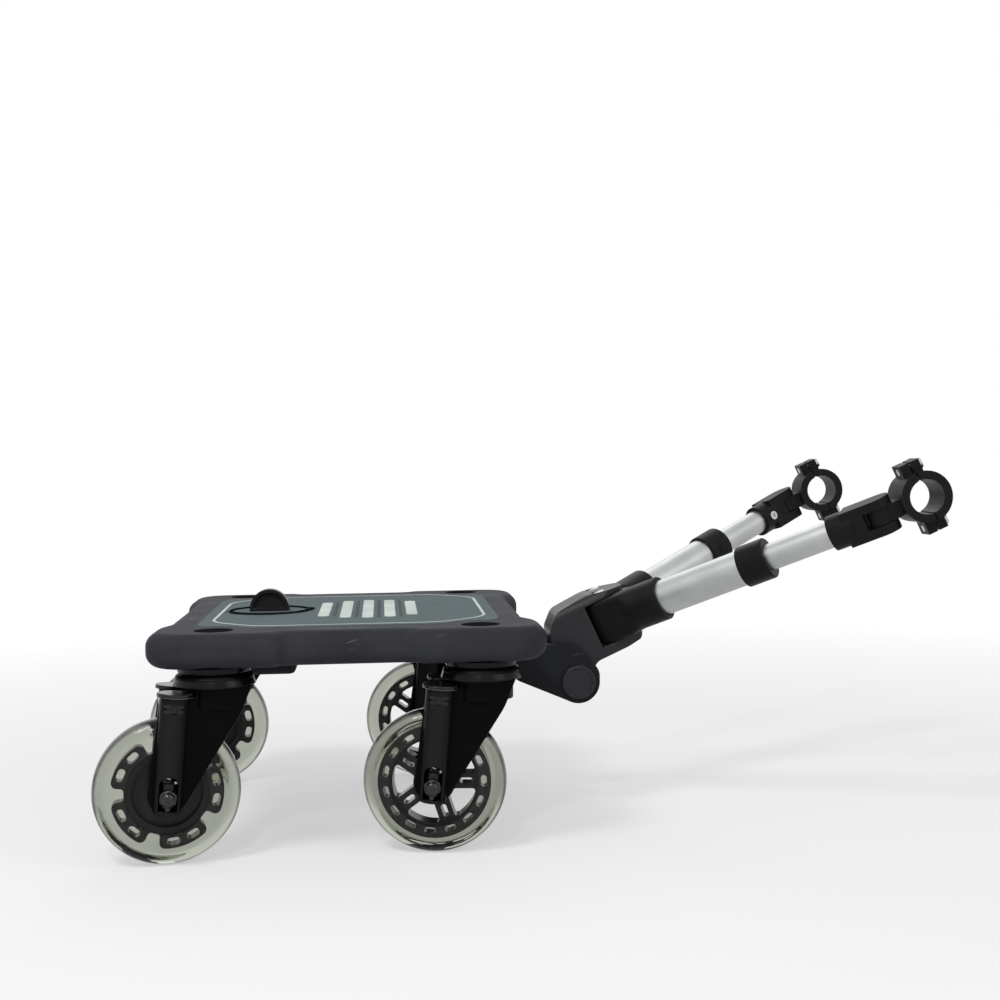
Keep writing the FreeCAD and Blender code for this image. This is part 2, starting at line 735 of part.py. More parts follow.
def make_strut_pieces():
    """Cap, shoe and spring of the left strut, which the right strut mirrors."""
    flange = moved(domed(flange_radius, flange_thickness, flange_rounding, Z_AXIS), Z_AXIS * strut_top)
    plug = rod(plug_radius, Z_AXIS * (strut_top - plug_length), Z_AXIS * strut_top)
    tongue_half_width = latch_width / 2 - sliding_clearance
    tongue_half_height = latch_height / 2 - sliding_clearance
    tongue = slab(at(-tongue_half_width, 0, strut_top - latch_drop - tongue_half_height),
                  at(tongue_half_width, strut_radius, strut_top - latch_drop + tongue_half_height))
    tongue = tongue.common(rod(strut_radius, ORIGIN, Z_AXIS * strut_top))
    groove = slab(at(-latch_groove_width / 2, 0, 0), at(latch_groove_width / 2, strut_radius, strut_top))
    level = strut_top - latch_drop
    groove = groove.fuse(slab(at(-strut_radius, 0, level - latch_groove_height / 2),
                              at(strut_radius, strut_radius, level + latch_groove_height / 2)))
    core = rod(strut_radius - latch_groove_depth, ORIGIN, Z_AXIS * strut_top)
    tongue = tongue.cut(groove.cut(core))
    cap = on_strut(flange.fuse([plug, tongue]))
    shoe = rod(shoe_radius, Z_AXIS * -shoe_below, Z_AXIS * shoe_above)
    shoe = on_strut(shoe.cut(rod(axle_radius, Y_AXIS * -shoe_radius, Y_AXIS * shoe_radius)))
    spring_low = shoe_above + spring_wire_radius + running_clearance
    spring_high = strut_top - plug_length - spring_wire_radius - running_clearance
    spring = on_strut(coil_spring(spring_low, spring_high))
    return both_sides(cap), both_sides(shoe), both_sides(spring)


def arc_from(start, direction, end):
    """The arc that leaves a point in a direction and ends at another point."""
    chord = end - start
    along = at(chord.x, chord.y, chord.z).normalize()
    angle = direction.getAngle(along)
    across = (direction - along * direction.dot(along)).normalize()
    middle = start + chord * (1 / 2) + across * (chord.Length / 2 * math.tan(angle / 2))
    return Part.Arc(start, middle, end).toShape()


def coil_spring(low, high):
    """A round-wire spring about Z: quarter turns of a helix, each as two arcs that meet smoothly."""
    quarters = int(spring_turns * full_turn / quarter_turn)
    climb = (high - low) / (spring_turns * 2 * math.pi)

    def helix(step):
        angle = math.radians(step * quarter_turn)
        point = at(spring_mean_radius * math.cos(angle), spring_mean_radius * math.sin(angle),
                   low + climb * angle)
        heading = at(-spring_mean_radius * math.sin(angle), spring_mean_radius * math.cos(angle), climb)
        return point, heading.normalize()

    edges = []
    for step in range(quarters):
        start, leaving = helix(step)
        end, arriving = helix(step + 1)
        gap = end - start
        both = leaving + arriving
        spread = 2 * (1 - leaving.dot(arriving))
        lead = (math.sqrt(gap.dot(both) ** 2 + spread * gap.dot(gap)) - gap.dot(both)) / spread
        joint = (start + end + (leaving - arriving) * lead) * (1 / 2)
        edges.append(arc_from(start, leaving, joint))
        edges.append(arc_from(end, -arriving, joint))
    wire = Part.Wire(edges)
    start, leaving = helix(0)
    section = Part.Wire(Part.makeCircle(spring_wire_radius, start, leaving))
    points = [helix(step)[0] for step in range(quarters + 1)]
    turn = int(full_turn / quarter_turn)
    nearest = min((points[later] - points[step]).Length
                  for step in range(quarters + 1) for later in range(step + turn, quarters + 1))
    print("least gap between spring turns", round(nearest - 2 * spring_wire_radius, 2))
    return wire.makePipeShell([section], True, False)


def make_axle():
    """A shoulder bolt with a domed head, its cap nut and the two spacers beside the wheel."""
    head = moved(domed(axle_head_radius, axle_head_height, axle_head_rounding, Y_AXIS), Y_AXIS * shoe_outer)
    bolt = rod(axle_radius, Y_AXIS * (-shoe_outer - nut_engagement), Y_AXIS * shoe_outer).fuse(head)
    nut = mirrored(head).cut(rod(axle_radius, Y_AXIS * (-shoe_outer - nut_engagement), Y_AXIS * -shoe_outer))
    spacer = pipe(axle_radius, spacer_radius, Y_AXIS * (hub_half_width + running_clearance),
                  Y_AXIS * (fork_half_gap - sliding_clearance))
    return [moved(piece, at(axle_x, 0, axle_z)) for piece in [bolt, nut] + both_sides(spacer)]


def wheel_band(inner, outer, half_width):
    return pipe(inner, outer, Y_AXIS * -half_width, Y_AXIS * half_width)


def hub_slot(radius, length, width):
    """A rounded slot right through the rim, at the +X side."""
    outline = rectangle(radius - width / 2, -length / 2, radius + width / 2, length / 2, width / 2)
    return rounded_face(outline, side_view(-hub_half_width)).extrude(Y_AXIS * (2 * hub_half_width))


def bearing_seats():
    outer = Y_AXIS * hub_half_width
    inner = Y_AXIS * (hub_half_width - bearing_width)
    return both_sides(rod(bearing_outer_radius, inner, outer))


def make_rear_hub():
    """A closed dished hub whose castellated rim has pairs of slots."""
    segment = rounded_face(rectangle(rear_ring_outer, -rim_half_width, rear_segment_outer, rim_half_width, 0),
                           plan_view(0)).revolve(ORIGIN, Y_AXIS, rear_segment_angle)
    segment = spun(segment, Y_AXIS, -rear_segment_angle / 2)
    ends = cross_edges(segment, rear_segment_outer, 2 * rim_half_width)
    segment = segment.makeFillet(rear_segment_rounding, ends)
    slot = hub_slot((rear_ring_outer + rear_segment_outer) / 2, rear_slot_length, rear_slot_width)
    segment = segment.cut([spun(slot, Y_AXIS, side * rear_slot_spread / 2) for side in (-1, 1)])
    hub = wheel_band(hub_shoulder_radius, hub_boss_radius, hub_half_width)
    hub = hub.fuse([wheel_band(hub_boss_radius, rear_ring_inner, dish_half_thickness),
                    wheel_band(rear_ring_inner, rear_ring_outer, rim_half_width)]
                   + ring_of(segment, Y_AXIS, rear_segment_count)).removeSplitter()
    hub = hub.makeFillet(rear_gap_rounding, cross_edges(hub, rear_ring_outer, 2 * rim_half_width))
    return hub.cut(bearing_seats()).removeSplitter()


def make_front_hub():
    """An open hub: five slotted spokes between the boss and a slotted rim."""
    half = spoke_width / 2
    spoke = slab(at(hub_boss_radius - spoke_root, -spoke_half_thickness, -half),
                 at(front_ring_inner + spoke_root, spoke_half_thickness, half))
    slot_middle = (spoke_slot_inner + spoke_slot_outer) / 2
    across = hub_slot(slot_middle, spoke_slot_width, spoke_slot_outer - spoke_slot_inner)
    spokes = ring_of(spoke.cut(across), Y_AXIS, spoke_count)
    rim = wheel_band(front_ring_inner, front_ring_outer, rim_half_width)
    slot = hub_slot((front_ring_inner + front_ring_outer) / 2, front_slot_length, front_slot_width)
    rim = rim.cut(ring_of(slot, Y_AXIS, front_slot_count))
    hub = wheel_band(hub_shoulder_radius, hub_boss_radius, hub_half_width)
    hub = hub.fuse([rim] + spokes).removeSplitter()
    corners = []
    for radius in (hub_boss_radius, front_ring_inner):
        corners += cross_edges(hub, radius, 2 * spoke_half_thickness)
    hub = hub.makeFillet(spoke_rounding, corners)
    return hub.cut(bearing_seats()).removeSplitter()


def make_tyre(inner_radius, hub):
    """A cast tyre with a rounded tread, locked round the rim of its hub."""
    corners = [(inner_radius, -tyre_inner_width / 2, 0), (inner_radius, tyre_inner_width / 2, 0),
               (wheel_radius, tyre_width / 2, tyre_shoulder_radius),
               (wheel_radius, -tyre_width / 2, tyre_shoulder_radius)]
    return turned(corners, Y_AXIS).cut(hub)


def make_bearings():
    inner = axle_radius + running_clearance
    half = bearing_width / 2
    shield = half - bearing_shield_recess
    race = inner + bearing_inner_race
    lip = bearing_outer_radius - bearing_outer_race
    corners = [(inner, -half, 0), (race, -half, 0), (race, -shield, 0), (lip, -shield, 0), (lip, -half, 0),
               (bearing_outer_radius, -half, 0), (bearing_outer_radius, half, 0), (lip, half, 0),
               (lip, shield, 0), (race, shield, 0), (race, half, 0), (inner, half, 0)]
    bearing = turned(corners, Y_AXIS)
    return both_sides(moved(bearing, Y_AXIS * (hub_half_width - half)))


def make_casters():
    fork = make_fork()
    caps, shoes, springs = make_strut_pieces()
    axle = make_axle()
    bearings = make_bearings()
    hubs = {"rear": make_rear_hub(), "front": make_front_hub()}
    tyres = {"rear": make_tyre(rear_ring_outer, hubs["rear"]),
             "front": make_tyre(front_tyre_inner, hubs["front"])}
    wheel_place = at(axle_x, 0, axle_z)
    for name, place in caster_places():
        end = name.split("_")[0]
        pieces = {"fork": [fork], "strut_caps": caps, "strut_springs": springs, "axle_shoes": shoes,
                  "axle": axle, "hub": [moved(hubs[end], wheel_place)],
                  "tyre": [moved(tyres[end], wheel_place)],
                  "bearings": [moved(bearing, wheel_place) for bearing in bearings]}
        for piece, solids in pieces.items():
            placed = [moved(spun(solid, Z_AXIS, swivel_angles[name]), place) for solid in solids]
            add(name + "_" + piece, placed if len(placed) > 1 else placed[0])


# Coupling: the yoke on the hinge, two telescopic arms and their clamps

def inclined(shape):
    """Tips a shape from along X to the slope of the arms and stands it on the arm pivots."""
    return moved(spun(shape, Y_AXIS, -arm_incline), at(pivot_x, 0, pivot_height))


def arm_placed(shape, side):
    swung = moved(spun(shape, Z_AXIS, side * arm_spread), Y_AXIS * (side * pivot_half_spacing))
    return inclined(swung)


def make_yoke():
    slope = math.radians(arm_incline)
    run = hinge_x - pivot_x
    rise = hinge_height - pivot_height
    pin = at(run * math.cos(slope) + rise * math.sin(slope), 0,
             rise * math.cos(slope) - run * math.sin(slope))
    outline = [(pin.x - barrel_radius, pin.z, 0), (yoke_heel, yoke_heel_height, yoke_rounding),
               (yoke_nape, jaw_top - yoke_nape_drop, yoke_rounding), (yoke_brow, jaw_top, yoke_rounding),
               (jaw_tip, jaw_top - jaw_tip_droop, 0), (jaw_tip, jaw_bottom + jaw_chin, 0),
               (jaw_tip - jaw_chin, jaw_bottom, jaw_chin), (yoke_neck_front, jaw_bottom, yoke_rounding),
               (pin.x + barrel_radius, pin.z, 0)]
    yoke = rounded_face(outline, side_view(-yoke_half_width)).extrude(Y_AXIS * (2 * yoke_half_width))
    barrel_half = Y_AXIS * yoke_half_width
    yoke = yoke.fuse(rod(barrel_radius, pin - barrel_half, pin + barrel_half))
    far = pin.x - cut_overrun
    crown = [(-yoke_half_width, pin.z - cut_overrun, 0), (yoke_half_width, pin.z - cut_overrun, 0),
             (yoke_half_width, jaw_top, yoke_crown_rounding),
             (-yoke_half_width, jaw_top, yoke_crown_rounding)]
    yoke = yoke.common(rounded_face(crown, end_view(far)).extrude(X_AXIS * (jaw_tip - far)))
    plan = [(far, -yoke_half_width, 0), (jaw_taper_start, -yoke_half_width, jaw_tip_rounding),
            (jaw_tip, -jaw_tip_half_width, jaw_tip_rounding), (jaw_tip, jaw_tip_half_width, jaw_tip_rounding),
            (jaw_taper_start, yoke_half_width, jaw_tip_rounding), (far, yoke_half_width, 0)]
    low = pin.z - cut_overrun
    yoke = yoke.common(rounded_face(plan, plan_view(low)).extrude(Z_AXIS * (jaw_top - low)))
    yoke = yoke.cut(slab(at(yoke_window_back, -cut_overrun, -jaw_half_gap),
                         at(jaw_tip + cut_overrun, cut_overrun, jaw_half_gap)))
    yoke = yoke.cut(rod(hinge_pin_radius + running_clearance, pin - barrel_half, pin + barrel_half))
    pins = []
    for side in (-1, 1):
        foot = at(0, side * pivot_half_spacing, jaw_bottom)
        seat = at(0, side * pivot_half_spacing, arm_pin_seat)
        yoke = yoke.cut(rod(arm_pin_radius, foot, seat))
        yoke = yoke.cut(rod(arm_pin_head_radius, seat, seat + Z_AXIS * cut_overrun))
        head = moved(domed(arm_pin_head_radius, arm_pin_head_height, arm_pin_head_height / 2, Z_AXIS), seat)
        pins.append(inclined(rod(arm_pin_radius, foot, seat).fuse(head)))
    add("yoke", inclined(yoke.removeSplitter()))
    add("arm_pins", pins)


def make_arms():
    knuckle = rod(socket_knuckle_radius, Z_AXIS * -socket_half_height, Z_AXIS * socket_half_height)
    plan = [(0, -socket_knuckle_radius, 0), (socket_neck, -socket_knuckle_radius, socket_rounding),
            (socket_shoulder, -socket_half_width, socket_rounding), (socket_length, -socket_half_width, 0),
            (socket_length, socket_half_width, 0), (socket_shoulder, socket_half_width, socket_rounding),
            (socket_neck, socket_knuckle_radius, socket_rounding), (0, socket_knuckle_radius, 0)]
    block = rounded_face(plan, plan_view(-socket_half_height)).extrude(Z_AXIS * (2 * socket_half_height))
    section = rectangle(-socket_half_width, -socket_half_height, socket_half_width, socket_half_height,
                        socket_rounding)
    rounding_bar = rounded_face(section, end_view(0)).extrude(X_AXIS * socket_length)
    socket = knuckle.fuse(block.common(rounding_bar))
    socket = socket.cut(rod(outer_tube_radius, X_AXIS * socket_seat, X_AXIS * socket_length))
    socket = socket.cut(rod(arm_pin_radius + running_clearance, Z_AXIS * -socket_half_height,
                            Z_AXIS * socket_half_height)).removeSplitter()

    tube_end = tube_collar_start + tube_collar_seat
    outer_tube = pipe(outer_tube_radius - tube_wall, outer_tube_radius, X_AXIS * socket_seat,
                      X_AXIS * tube_end)
    collar_end = tube_collar_start + tube_collar_length
    bush = inner_tube_radius + sliding_clearance
    sleeve = outer_tube_radius - tube_wall - running_clearance
    profile = [(bush, tube_end - tube_collar_sleeve, 0), (sleeve, tube_end - tube_collar_sleeve, 0),
               (sleeve, tube_end, 0), (outer_tube_radius, tube_end, 0),
               (outer_tube_radius, tube_collar_start, 0),
               (tube_collar_radius, tube_collar_start, tube_collar_rounding),
               (tube_collar_radius, collar_end, tube_collar_rounding), (bush, collar_end, 0)]
    collar = spun(turned(profile, Z_AXIS), Y_AXIS, quarter_turn)
    button_place = X_AXIS * ((tube_end + collar_end) / 2)
    button_reach = tube_collar_radius + lock_button_height
    inner_end = fitting_start + fitting_seat
    inner_tube = pipe(inner_tube_radius - tube_wall, inner_tube_radius, X_AXIS * inner_tube_start,
                      X_AXIS * inner_end)
    fitting = make_end_fitting()
    for name, side in (("right", -1), ("left", 1)):
        button_foot = button_place - Y_AXIS * (side * (bush + tube_wall))
        button = rod(lock_button_radius, button_foot, button_place - Y_AXIS * (side * button_reach))
        add(name + "_arm_socket", arm_placed(socket, side))
        add(name + "_outer_tube", arm_placed(outer_tube, side))
        add(name + "_tube_collar", arm_placed(collar.fuse(button), side))
        add(name + "_inner_tube", arm_placed(inner_tube, side))
        add(name + "_end_fitting", arm_placed(fitting, side))


def make_end_fitting():
    """A sleeve on the inner tube that ends in a two-eared clevis."""
    pivot = X_AXIS * fitting_pivot
    sleeve = rod(fitting_radius, X_AXIS * fitting_start, X_AXIS * (fitting_start + fitting_sleeve))
    half_height = Z_AXIS * fitting_radius
    ears = slab(at(fitting_start + fitting_seat, -fitting_half_width, -fitting_radius),
                at(fitting_pivot, fitting_half_width, fitting_radius))
    ears = ears.fuse(rod(fitting_half_width, pivot - half_height, pivot + half_height))
    fitting = sleeve.fuse(ears)
    clevis_back = fitting_pivot - clamp_tongue_radius - 2 * sliding_clearance
    fitting = fitting.cut(slab(at(clevis_back, -cut_overrun, -clevis_half_gap),
                               at(fitting_pivot + cut_overrun, cut_overrun, clevis_half_gap)))
    fitting = fitting.cut(rod(trunnion_radius + running_clearance, pivot - half_height, pivot + half_height))
    seat_end = X_AXIS * (fitting_start + fitting_seat)
    return fitting.cut(rod(inner_tube_radius, X_AXIS * fitting_start, seat_end)).removeSplitter()


def clamp_pivot(side):
    """Where a clamp swings on the end of its arm."""
    marker = arm_placed(Part.Vertex(X_AXIS * fitting_pivot), side)
    return marker.Point


def make_clamps():
    """Two saddles on a snap-in tongue, drawn together round a tube by a screw above and below it."""
    outer = clamp_bore_radius + clamp_wall
    centre = X_AXIS * clamp_reach
    half = Y_AXIS * clamp_half_width
    screw_height = outer + clamp_screw_radius + clamp_screw_margin
    ear_top = screw_height + clamp_ear_edge
    ears = slab(at(clamp_reach - clamp_ear_depth, -clamp_ear_half_width, -ear_top),
                at(clamp_reach + clamp_ear_depth, clamp_ear_half_width, ear_top))
    ring = rod(outer, centre - half, centre + half).fuse(ears)
    tongue = rod(clamp_tongue_radius, Z_AXIS * -clamp_tongue_half_height, Z_AXIS * clamp_tongue_half_height)
    neck = slab(at(0, -clamp_neck_half_width, -clamp_tongue_half_height),
                at(clamp_reach, clamp_neck_half_width, clamp_tongue_half_height))
    trunnion = rod(trunnion_radius, Z_AXIS * -fitting_radius, Z_AXIS * fitting_radius)
    whole = ring.fuse([tongue, neck, trunnion]).cut(rod(clamp_bore_radius, centre - half, centre + half))
    screws = []
    for side in (-1, 1):
        head_seat = at(clamp_reach + clamp_ear_depth, 0, side * screw_height)
        tip = at(clamp_reach - clamp_ear_depth, 0, side * screw_height)
        whole = whole.cut(rod(clamp_screw_radius, tip, head_seat))
        head_face = head_seat + X_AXIS * clamp_screw_head_height
        key = spun(hexagon(clamp_screw_socket_radius, clamp_screw_socket_depth), Y_AXIS, -quarter_turn)
        head = rod(clamp_screw_head_radius, head_seat, head_face).cut(moved(key, head_face))
        screws.append(rod(clamp_screw_radius, tip, head_seat).fuse(head))
    reach = ear_top + clamp_wall
    split = slab(at(clamp_reach - clamp_split / 2, -reach, -reach), at(clamp_reach + reach, reach, reach))
    front = slab(at(clamp_reach + clamp_split / 2, -reach, -reach), at(clamp_reach + reach, reach, reach))
    pieces = {"clamp_body": whole.cut(split).removeSplitter(),
              "clamp_cap": whole.common(front).removeSplitter(), "clamp_screws": screws}
    for name, side in (("right", -1), ("left", 1)):
        for piece, solids in pieces.items():
            group = solids if isinstance(solids, list) else [solids]
            placed = [moved(spun(solid, Y_AXIS, -arm_incline), clamp_pivot(side)) for solid in group]
            add(name + "_" + piece, placed if len(placed) > 1 else placed[0])


def centre_shift():
    """The move that brings the bottom centre of the whole part to the origin."""
    box = Part.makeCompound(list(nodes.values())).optimalBoundingBox(False, False)
    return at(-box.Center.x, -box.Center.y, -box.ZMin)


make_deck()
make_deck_fittings()
make_knob()
make_hinge_bracket()
make_casters()
make_yoke()
make_arms()
make_clamps()

shift = centre_shift()
os.makedirs("parts", exist_ok=True)
for node_name, node_shape in nodes.items():
    moved(node_shape, shift).exportStep("parts/" + node_name + ".step")
print("nodes", len(nodes), "moved by", round(shift.x, 3), round(shift.y, 3), round(shift.z, 3))
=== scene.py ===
"""Dresses the buggy board: procedural finishes on its solids, and the modelled pieces that they lack."""

from __future__ import annotations

import json
import logging
import math
from dataclasses import dataclass, field
from enum import Enum

import bmesh
import bpy
from bmesh.types import BMEdge, BMesh, BMVert
from mathutils import Matrix, Vector

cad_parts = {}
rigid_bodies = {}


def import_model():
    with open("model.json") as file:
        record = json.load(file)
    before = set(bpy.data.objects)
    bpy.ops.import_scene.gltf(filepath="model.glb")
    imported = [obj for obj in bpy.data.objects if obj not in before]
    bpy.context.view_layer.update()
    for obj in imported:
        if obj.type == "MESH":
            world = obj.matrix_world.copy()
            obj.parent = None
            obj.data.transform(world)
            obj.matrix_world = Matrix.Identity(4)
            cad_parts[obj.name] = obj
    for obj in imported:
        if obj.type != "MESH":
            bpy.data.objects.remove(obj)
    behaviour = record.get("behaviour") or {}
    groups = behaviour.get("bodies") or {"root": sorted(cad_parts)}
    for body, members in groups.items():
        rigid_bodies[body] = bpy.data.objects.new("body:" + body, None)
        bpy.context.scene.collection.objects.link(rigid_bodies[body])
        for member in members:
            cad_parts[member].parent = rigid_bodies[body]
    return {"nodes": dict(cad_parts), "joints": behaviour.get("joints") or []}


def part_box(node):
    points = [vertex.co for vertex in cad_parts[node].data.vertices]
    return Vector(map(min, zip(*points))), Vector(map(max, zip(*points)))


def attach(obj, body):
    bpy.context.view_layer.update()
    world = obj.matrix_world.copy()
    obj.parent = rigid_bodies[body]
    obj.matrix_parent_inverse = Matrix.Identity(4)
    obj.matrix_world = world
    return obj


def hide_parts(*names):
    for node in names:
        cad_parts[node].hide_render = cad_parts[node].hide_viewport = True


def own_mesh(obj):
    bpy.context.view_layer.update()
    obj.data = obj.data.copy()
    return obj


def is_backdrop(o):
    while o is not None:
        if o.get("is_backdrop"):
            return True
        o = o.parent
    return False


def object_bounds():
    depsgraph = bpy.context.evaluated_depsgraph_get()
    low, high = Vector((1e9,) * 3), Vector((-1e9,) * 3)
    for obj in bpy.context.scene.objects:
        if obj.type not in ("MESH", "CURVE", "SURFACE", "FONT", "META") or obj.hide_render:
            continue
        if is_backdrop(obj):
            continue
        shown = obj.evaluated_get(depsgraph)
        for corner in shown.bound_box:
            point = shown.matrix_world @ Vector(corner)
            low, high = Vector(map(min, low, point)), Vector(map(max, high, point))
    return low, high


LOG = logging.getLogger("buggy_board")
FULL_TURN = 2.0 * math.pi
QUARTER_TURN = math.pi / 2.0
BOTH_WAYS = (-1.0, 1.0)
NOISE_RANGE = (0.3, 0.7)
TREAD = "tread"
Colour = tuple[float, float, float]
Socket = bpy.types.NodeSocket


class End(Enum):
    """The two ends of the board, which have different hubs."""

    REAR = "rear"
    FRONT = "front"


class Side(Enum):
    """The two sides of the board."""

    RIGHT = "right"
    LEFT = "left"


class Rounding(Enum):
    """What a rounding is made on."""

    EDGES = "EDGES"
    CORNERS = "VERTICES"


class ShaderBench:
    """Lays out the nodes of one material round its principled shader."""

    EDGE_SAMPLES = 4
    EDGE_RANGE = (0.99, 0.8)

    def __init__(self, material: bpy.types.Material) -> None:
        """Takes over a material's node tree.

        Args:
            material: the material, which already uses nodes.
        """
        self.tree = material.node_tree
        self.shader = self.tree.nodes["Principled BSDF"]
        self.place = self.add("ShaderNodeTexCoord").outputs["Object"]

    def add(self, kind: str, **settings: object) -> bpy.types.Node:
        """Adds a node.

        Args:
            kind: the node's type.
            settings: properties of the node.

        Returns:
            The new node.
        """
        node = self.tree.nodes.new(kind)
        for name, value in settings.items():
            setattr(node, name, value)
        return node

    def join(self, source: Socket, target: Socket) -> None:
        """Links one socket to another."""
        self.tree.links.new(source, target)

    def turned(self, turn: Vector, stretch: Vector) -> Socket:
        """Turns and stretches the object's coordinates.

        Args:
            turn: Euler angles that bring the pattern's run onto X.
            stretch: scale along each axis after the turn.

        Returns:
            The coordinates' socket.
        """
        turning = self.add("ShaderNodeMapping")
        turning.inputs["Rotation"].default_value = turn
        self.join(self.place, turning.inputs["Vector"])
        stretching = self.add("ShaderNodeMapping")
        stretching.inputs["Scale"].default_value = stretch
        self.join(turning.outputs["Vector"], stretching.inputs["Vector"])
        return stretching.outputs["Vector"]

    def noise(self, size: float, detail: float, place: Socket | None = None) -> Socket:
        """Cloudy noise.

        Args:
            size: width of its largest features in metres.
            detail: number of finer octaves.
            place: coordinates, or the object's own.

        Returns:
            The noise's value, about 0.5 on average.
        """
        node = self.add("ShaderNodeTexNoise")
        node.inputs["Scale"].default_value = 1.0 / size
        node.inputs["Detail"].default_value = detail
        self.join(place or self.place, node.inputs["Vector"])
        return node.outputs["Fac"]

    def spread(self, value: Socket, low: float, high: float, to_low: float = 0.0,
               to_high: float = 1.0) -> Socket:
        """Maps a value from one range to another, held at the ends.

        Args:
            value: the socket to map.
            low: start of its range.
            high: end of its range.
            to_low: what the start becomes.
            to_high: what the end becomes.

        Returns:
            The mapped value.
        """
        node = self.add("ShaderNodeMapRange", clamp=True)
        self.join(value, node.inputs["Value"])
        for name, number in (("From Min", low), ("From Max", high), ("To Min", to_low), ("To Max", to_high)):
            node.inputs[name].default_value = number
        return node.outputs["Result"]

    def blend(self, share: Socket, first: Colour | Socket, second: Colour | Socket) -> Socket:
        """Mixes two colours.

        Args:
            share: how much of the second colour.
            first: a colour or a socket.
            second: a colour or a socket.

        Returns:
            The mixed colour.
        """
        node = self.add("ShaderNodeMix", data_type="RGBA")
        self.join(share, node.inputs["Factor"])
        for name, colour in (("A", first), ("B", second)):
            socket = next(s for s in node.inputs if s.name == name and s.type == "RGBA")
            if isinstance(colour, tuple):
                socket.default_value = (*colour, 1.0)
            else:
                self.join(colour, socket)
        return next(s for s in node.outputs if s.type == "RGBA")

    def bump(self, height: Socket, depth: float, strength: float, under: Socket | None = None) -> Socket:
        """Fine relief.

        Args:
            height: the relief's height from 0 to 1.
            depth: what a height of 1 is in metres.
            strength: how far the relief shows.
            under: a coarser relief that this one lies on.

        Returns:
            The normal.
        """
        node = self.add("ShaderNodeBump")
        node.inputs["Distance"].default_value = depth
        node.inputs["Strength"].default_value = strength
        self.join(height, node.inputs["Height"])
        if under is not None:
            self.join(under, node.inputs["Normal"])
        return node.outputs["Normal"]

    def edges(self, radius: float) -> tuple[Socket, Socket]:
        """Softens the look of sharp edges and finds them.

        Args:
            radius: how far the softening reaches in metres.

        Returns:
            The softened normal, and how near an edge the surface is, from 0 to 1.
        """
        soft = self.add("ShaderNodeBevel", samples=self.EDGE_SAMPLES)
        soft.inputs["Radius"].default_value = radius
        facing = self.add("ShaderNodeNewGeometry")
        along = self.add("ShaderNodeVectorMath", operation="DOT_PRODUCT")
        self.join(soft.outputs["Normal"], along.inputs[0])
        self.join(facing.outputs["Normal"], along.inputs[1])
        return soft.outputs["Normal"], self.spread(along.outputs["Value"], *self.EDGE_RANGE)

    def product(self, first: Socket, second: Socket) -> Socket:
        """Multiplies two values.

        Args:
            first: a value.
            second: another value.

        Returns:
            Their product.
        """
        node = self.add("ShaderNodeMath", operation="MULTIPLY")
        self.join(first, node.inputs[0])
        self.join(second, node.inputs[1])
        return node.outputs["Value"]

    def give(self, **inputs: Socket | float | tuple) -> None:
        """Sets or links inputs of the shader, named with _ for a space.

        Args:
            inputs: numbers, colours or sockets.
        """
        for name, value in inputs.items():
            socket = self.shader.inputs[name.replace("_", " ")]
            if isinstance(value, Socket):
                self.join(value, socket)
            else:
                socket.default_value = value


def shaded(colour: Colour, share: float) -> Colour:
    """A colour made lighter or darker by a share."""
    return tuple(min(1.0, channel * (1.0 + share)) for channel in colour)


@dataclass(frozen=True)
class Finish:
    """A surface finish with its colour in linear light."""

    name: str
    colour: Colour
    roughness: float

    def material(self) -> bpy.types.Material:
        """Makes the material at its first use.

        Returns:
            The material of this finish.
        """
        title = f"finish_{self.name}"
        found = bpy.data.materials.get(title)
        if found is not None:
            return found
        made = bpy.data.materials.new(title)
        made.use_nodes = True
        self.shade(ShaderBench(made))
        return made

    def shade(self, bench: ShaderBench) -> None:
        """Builds the shader, which each kind of finish does in its own way."""
        raise NotImplementedError(self.name)


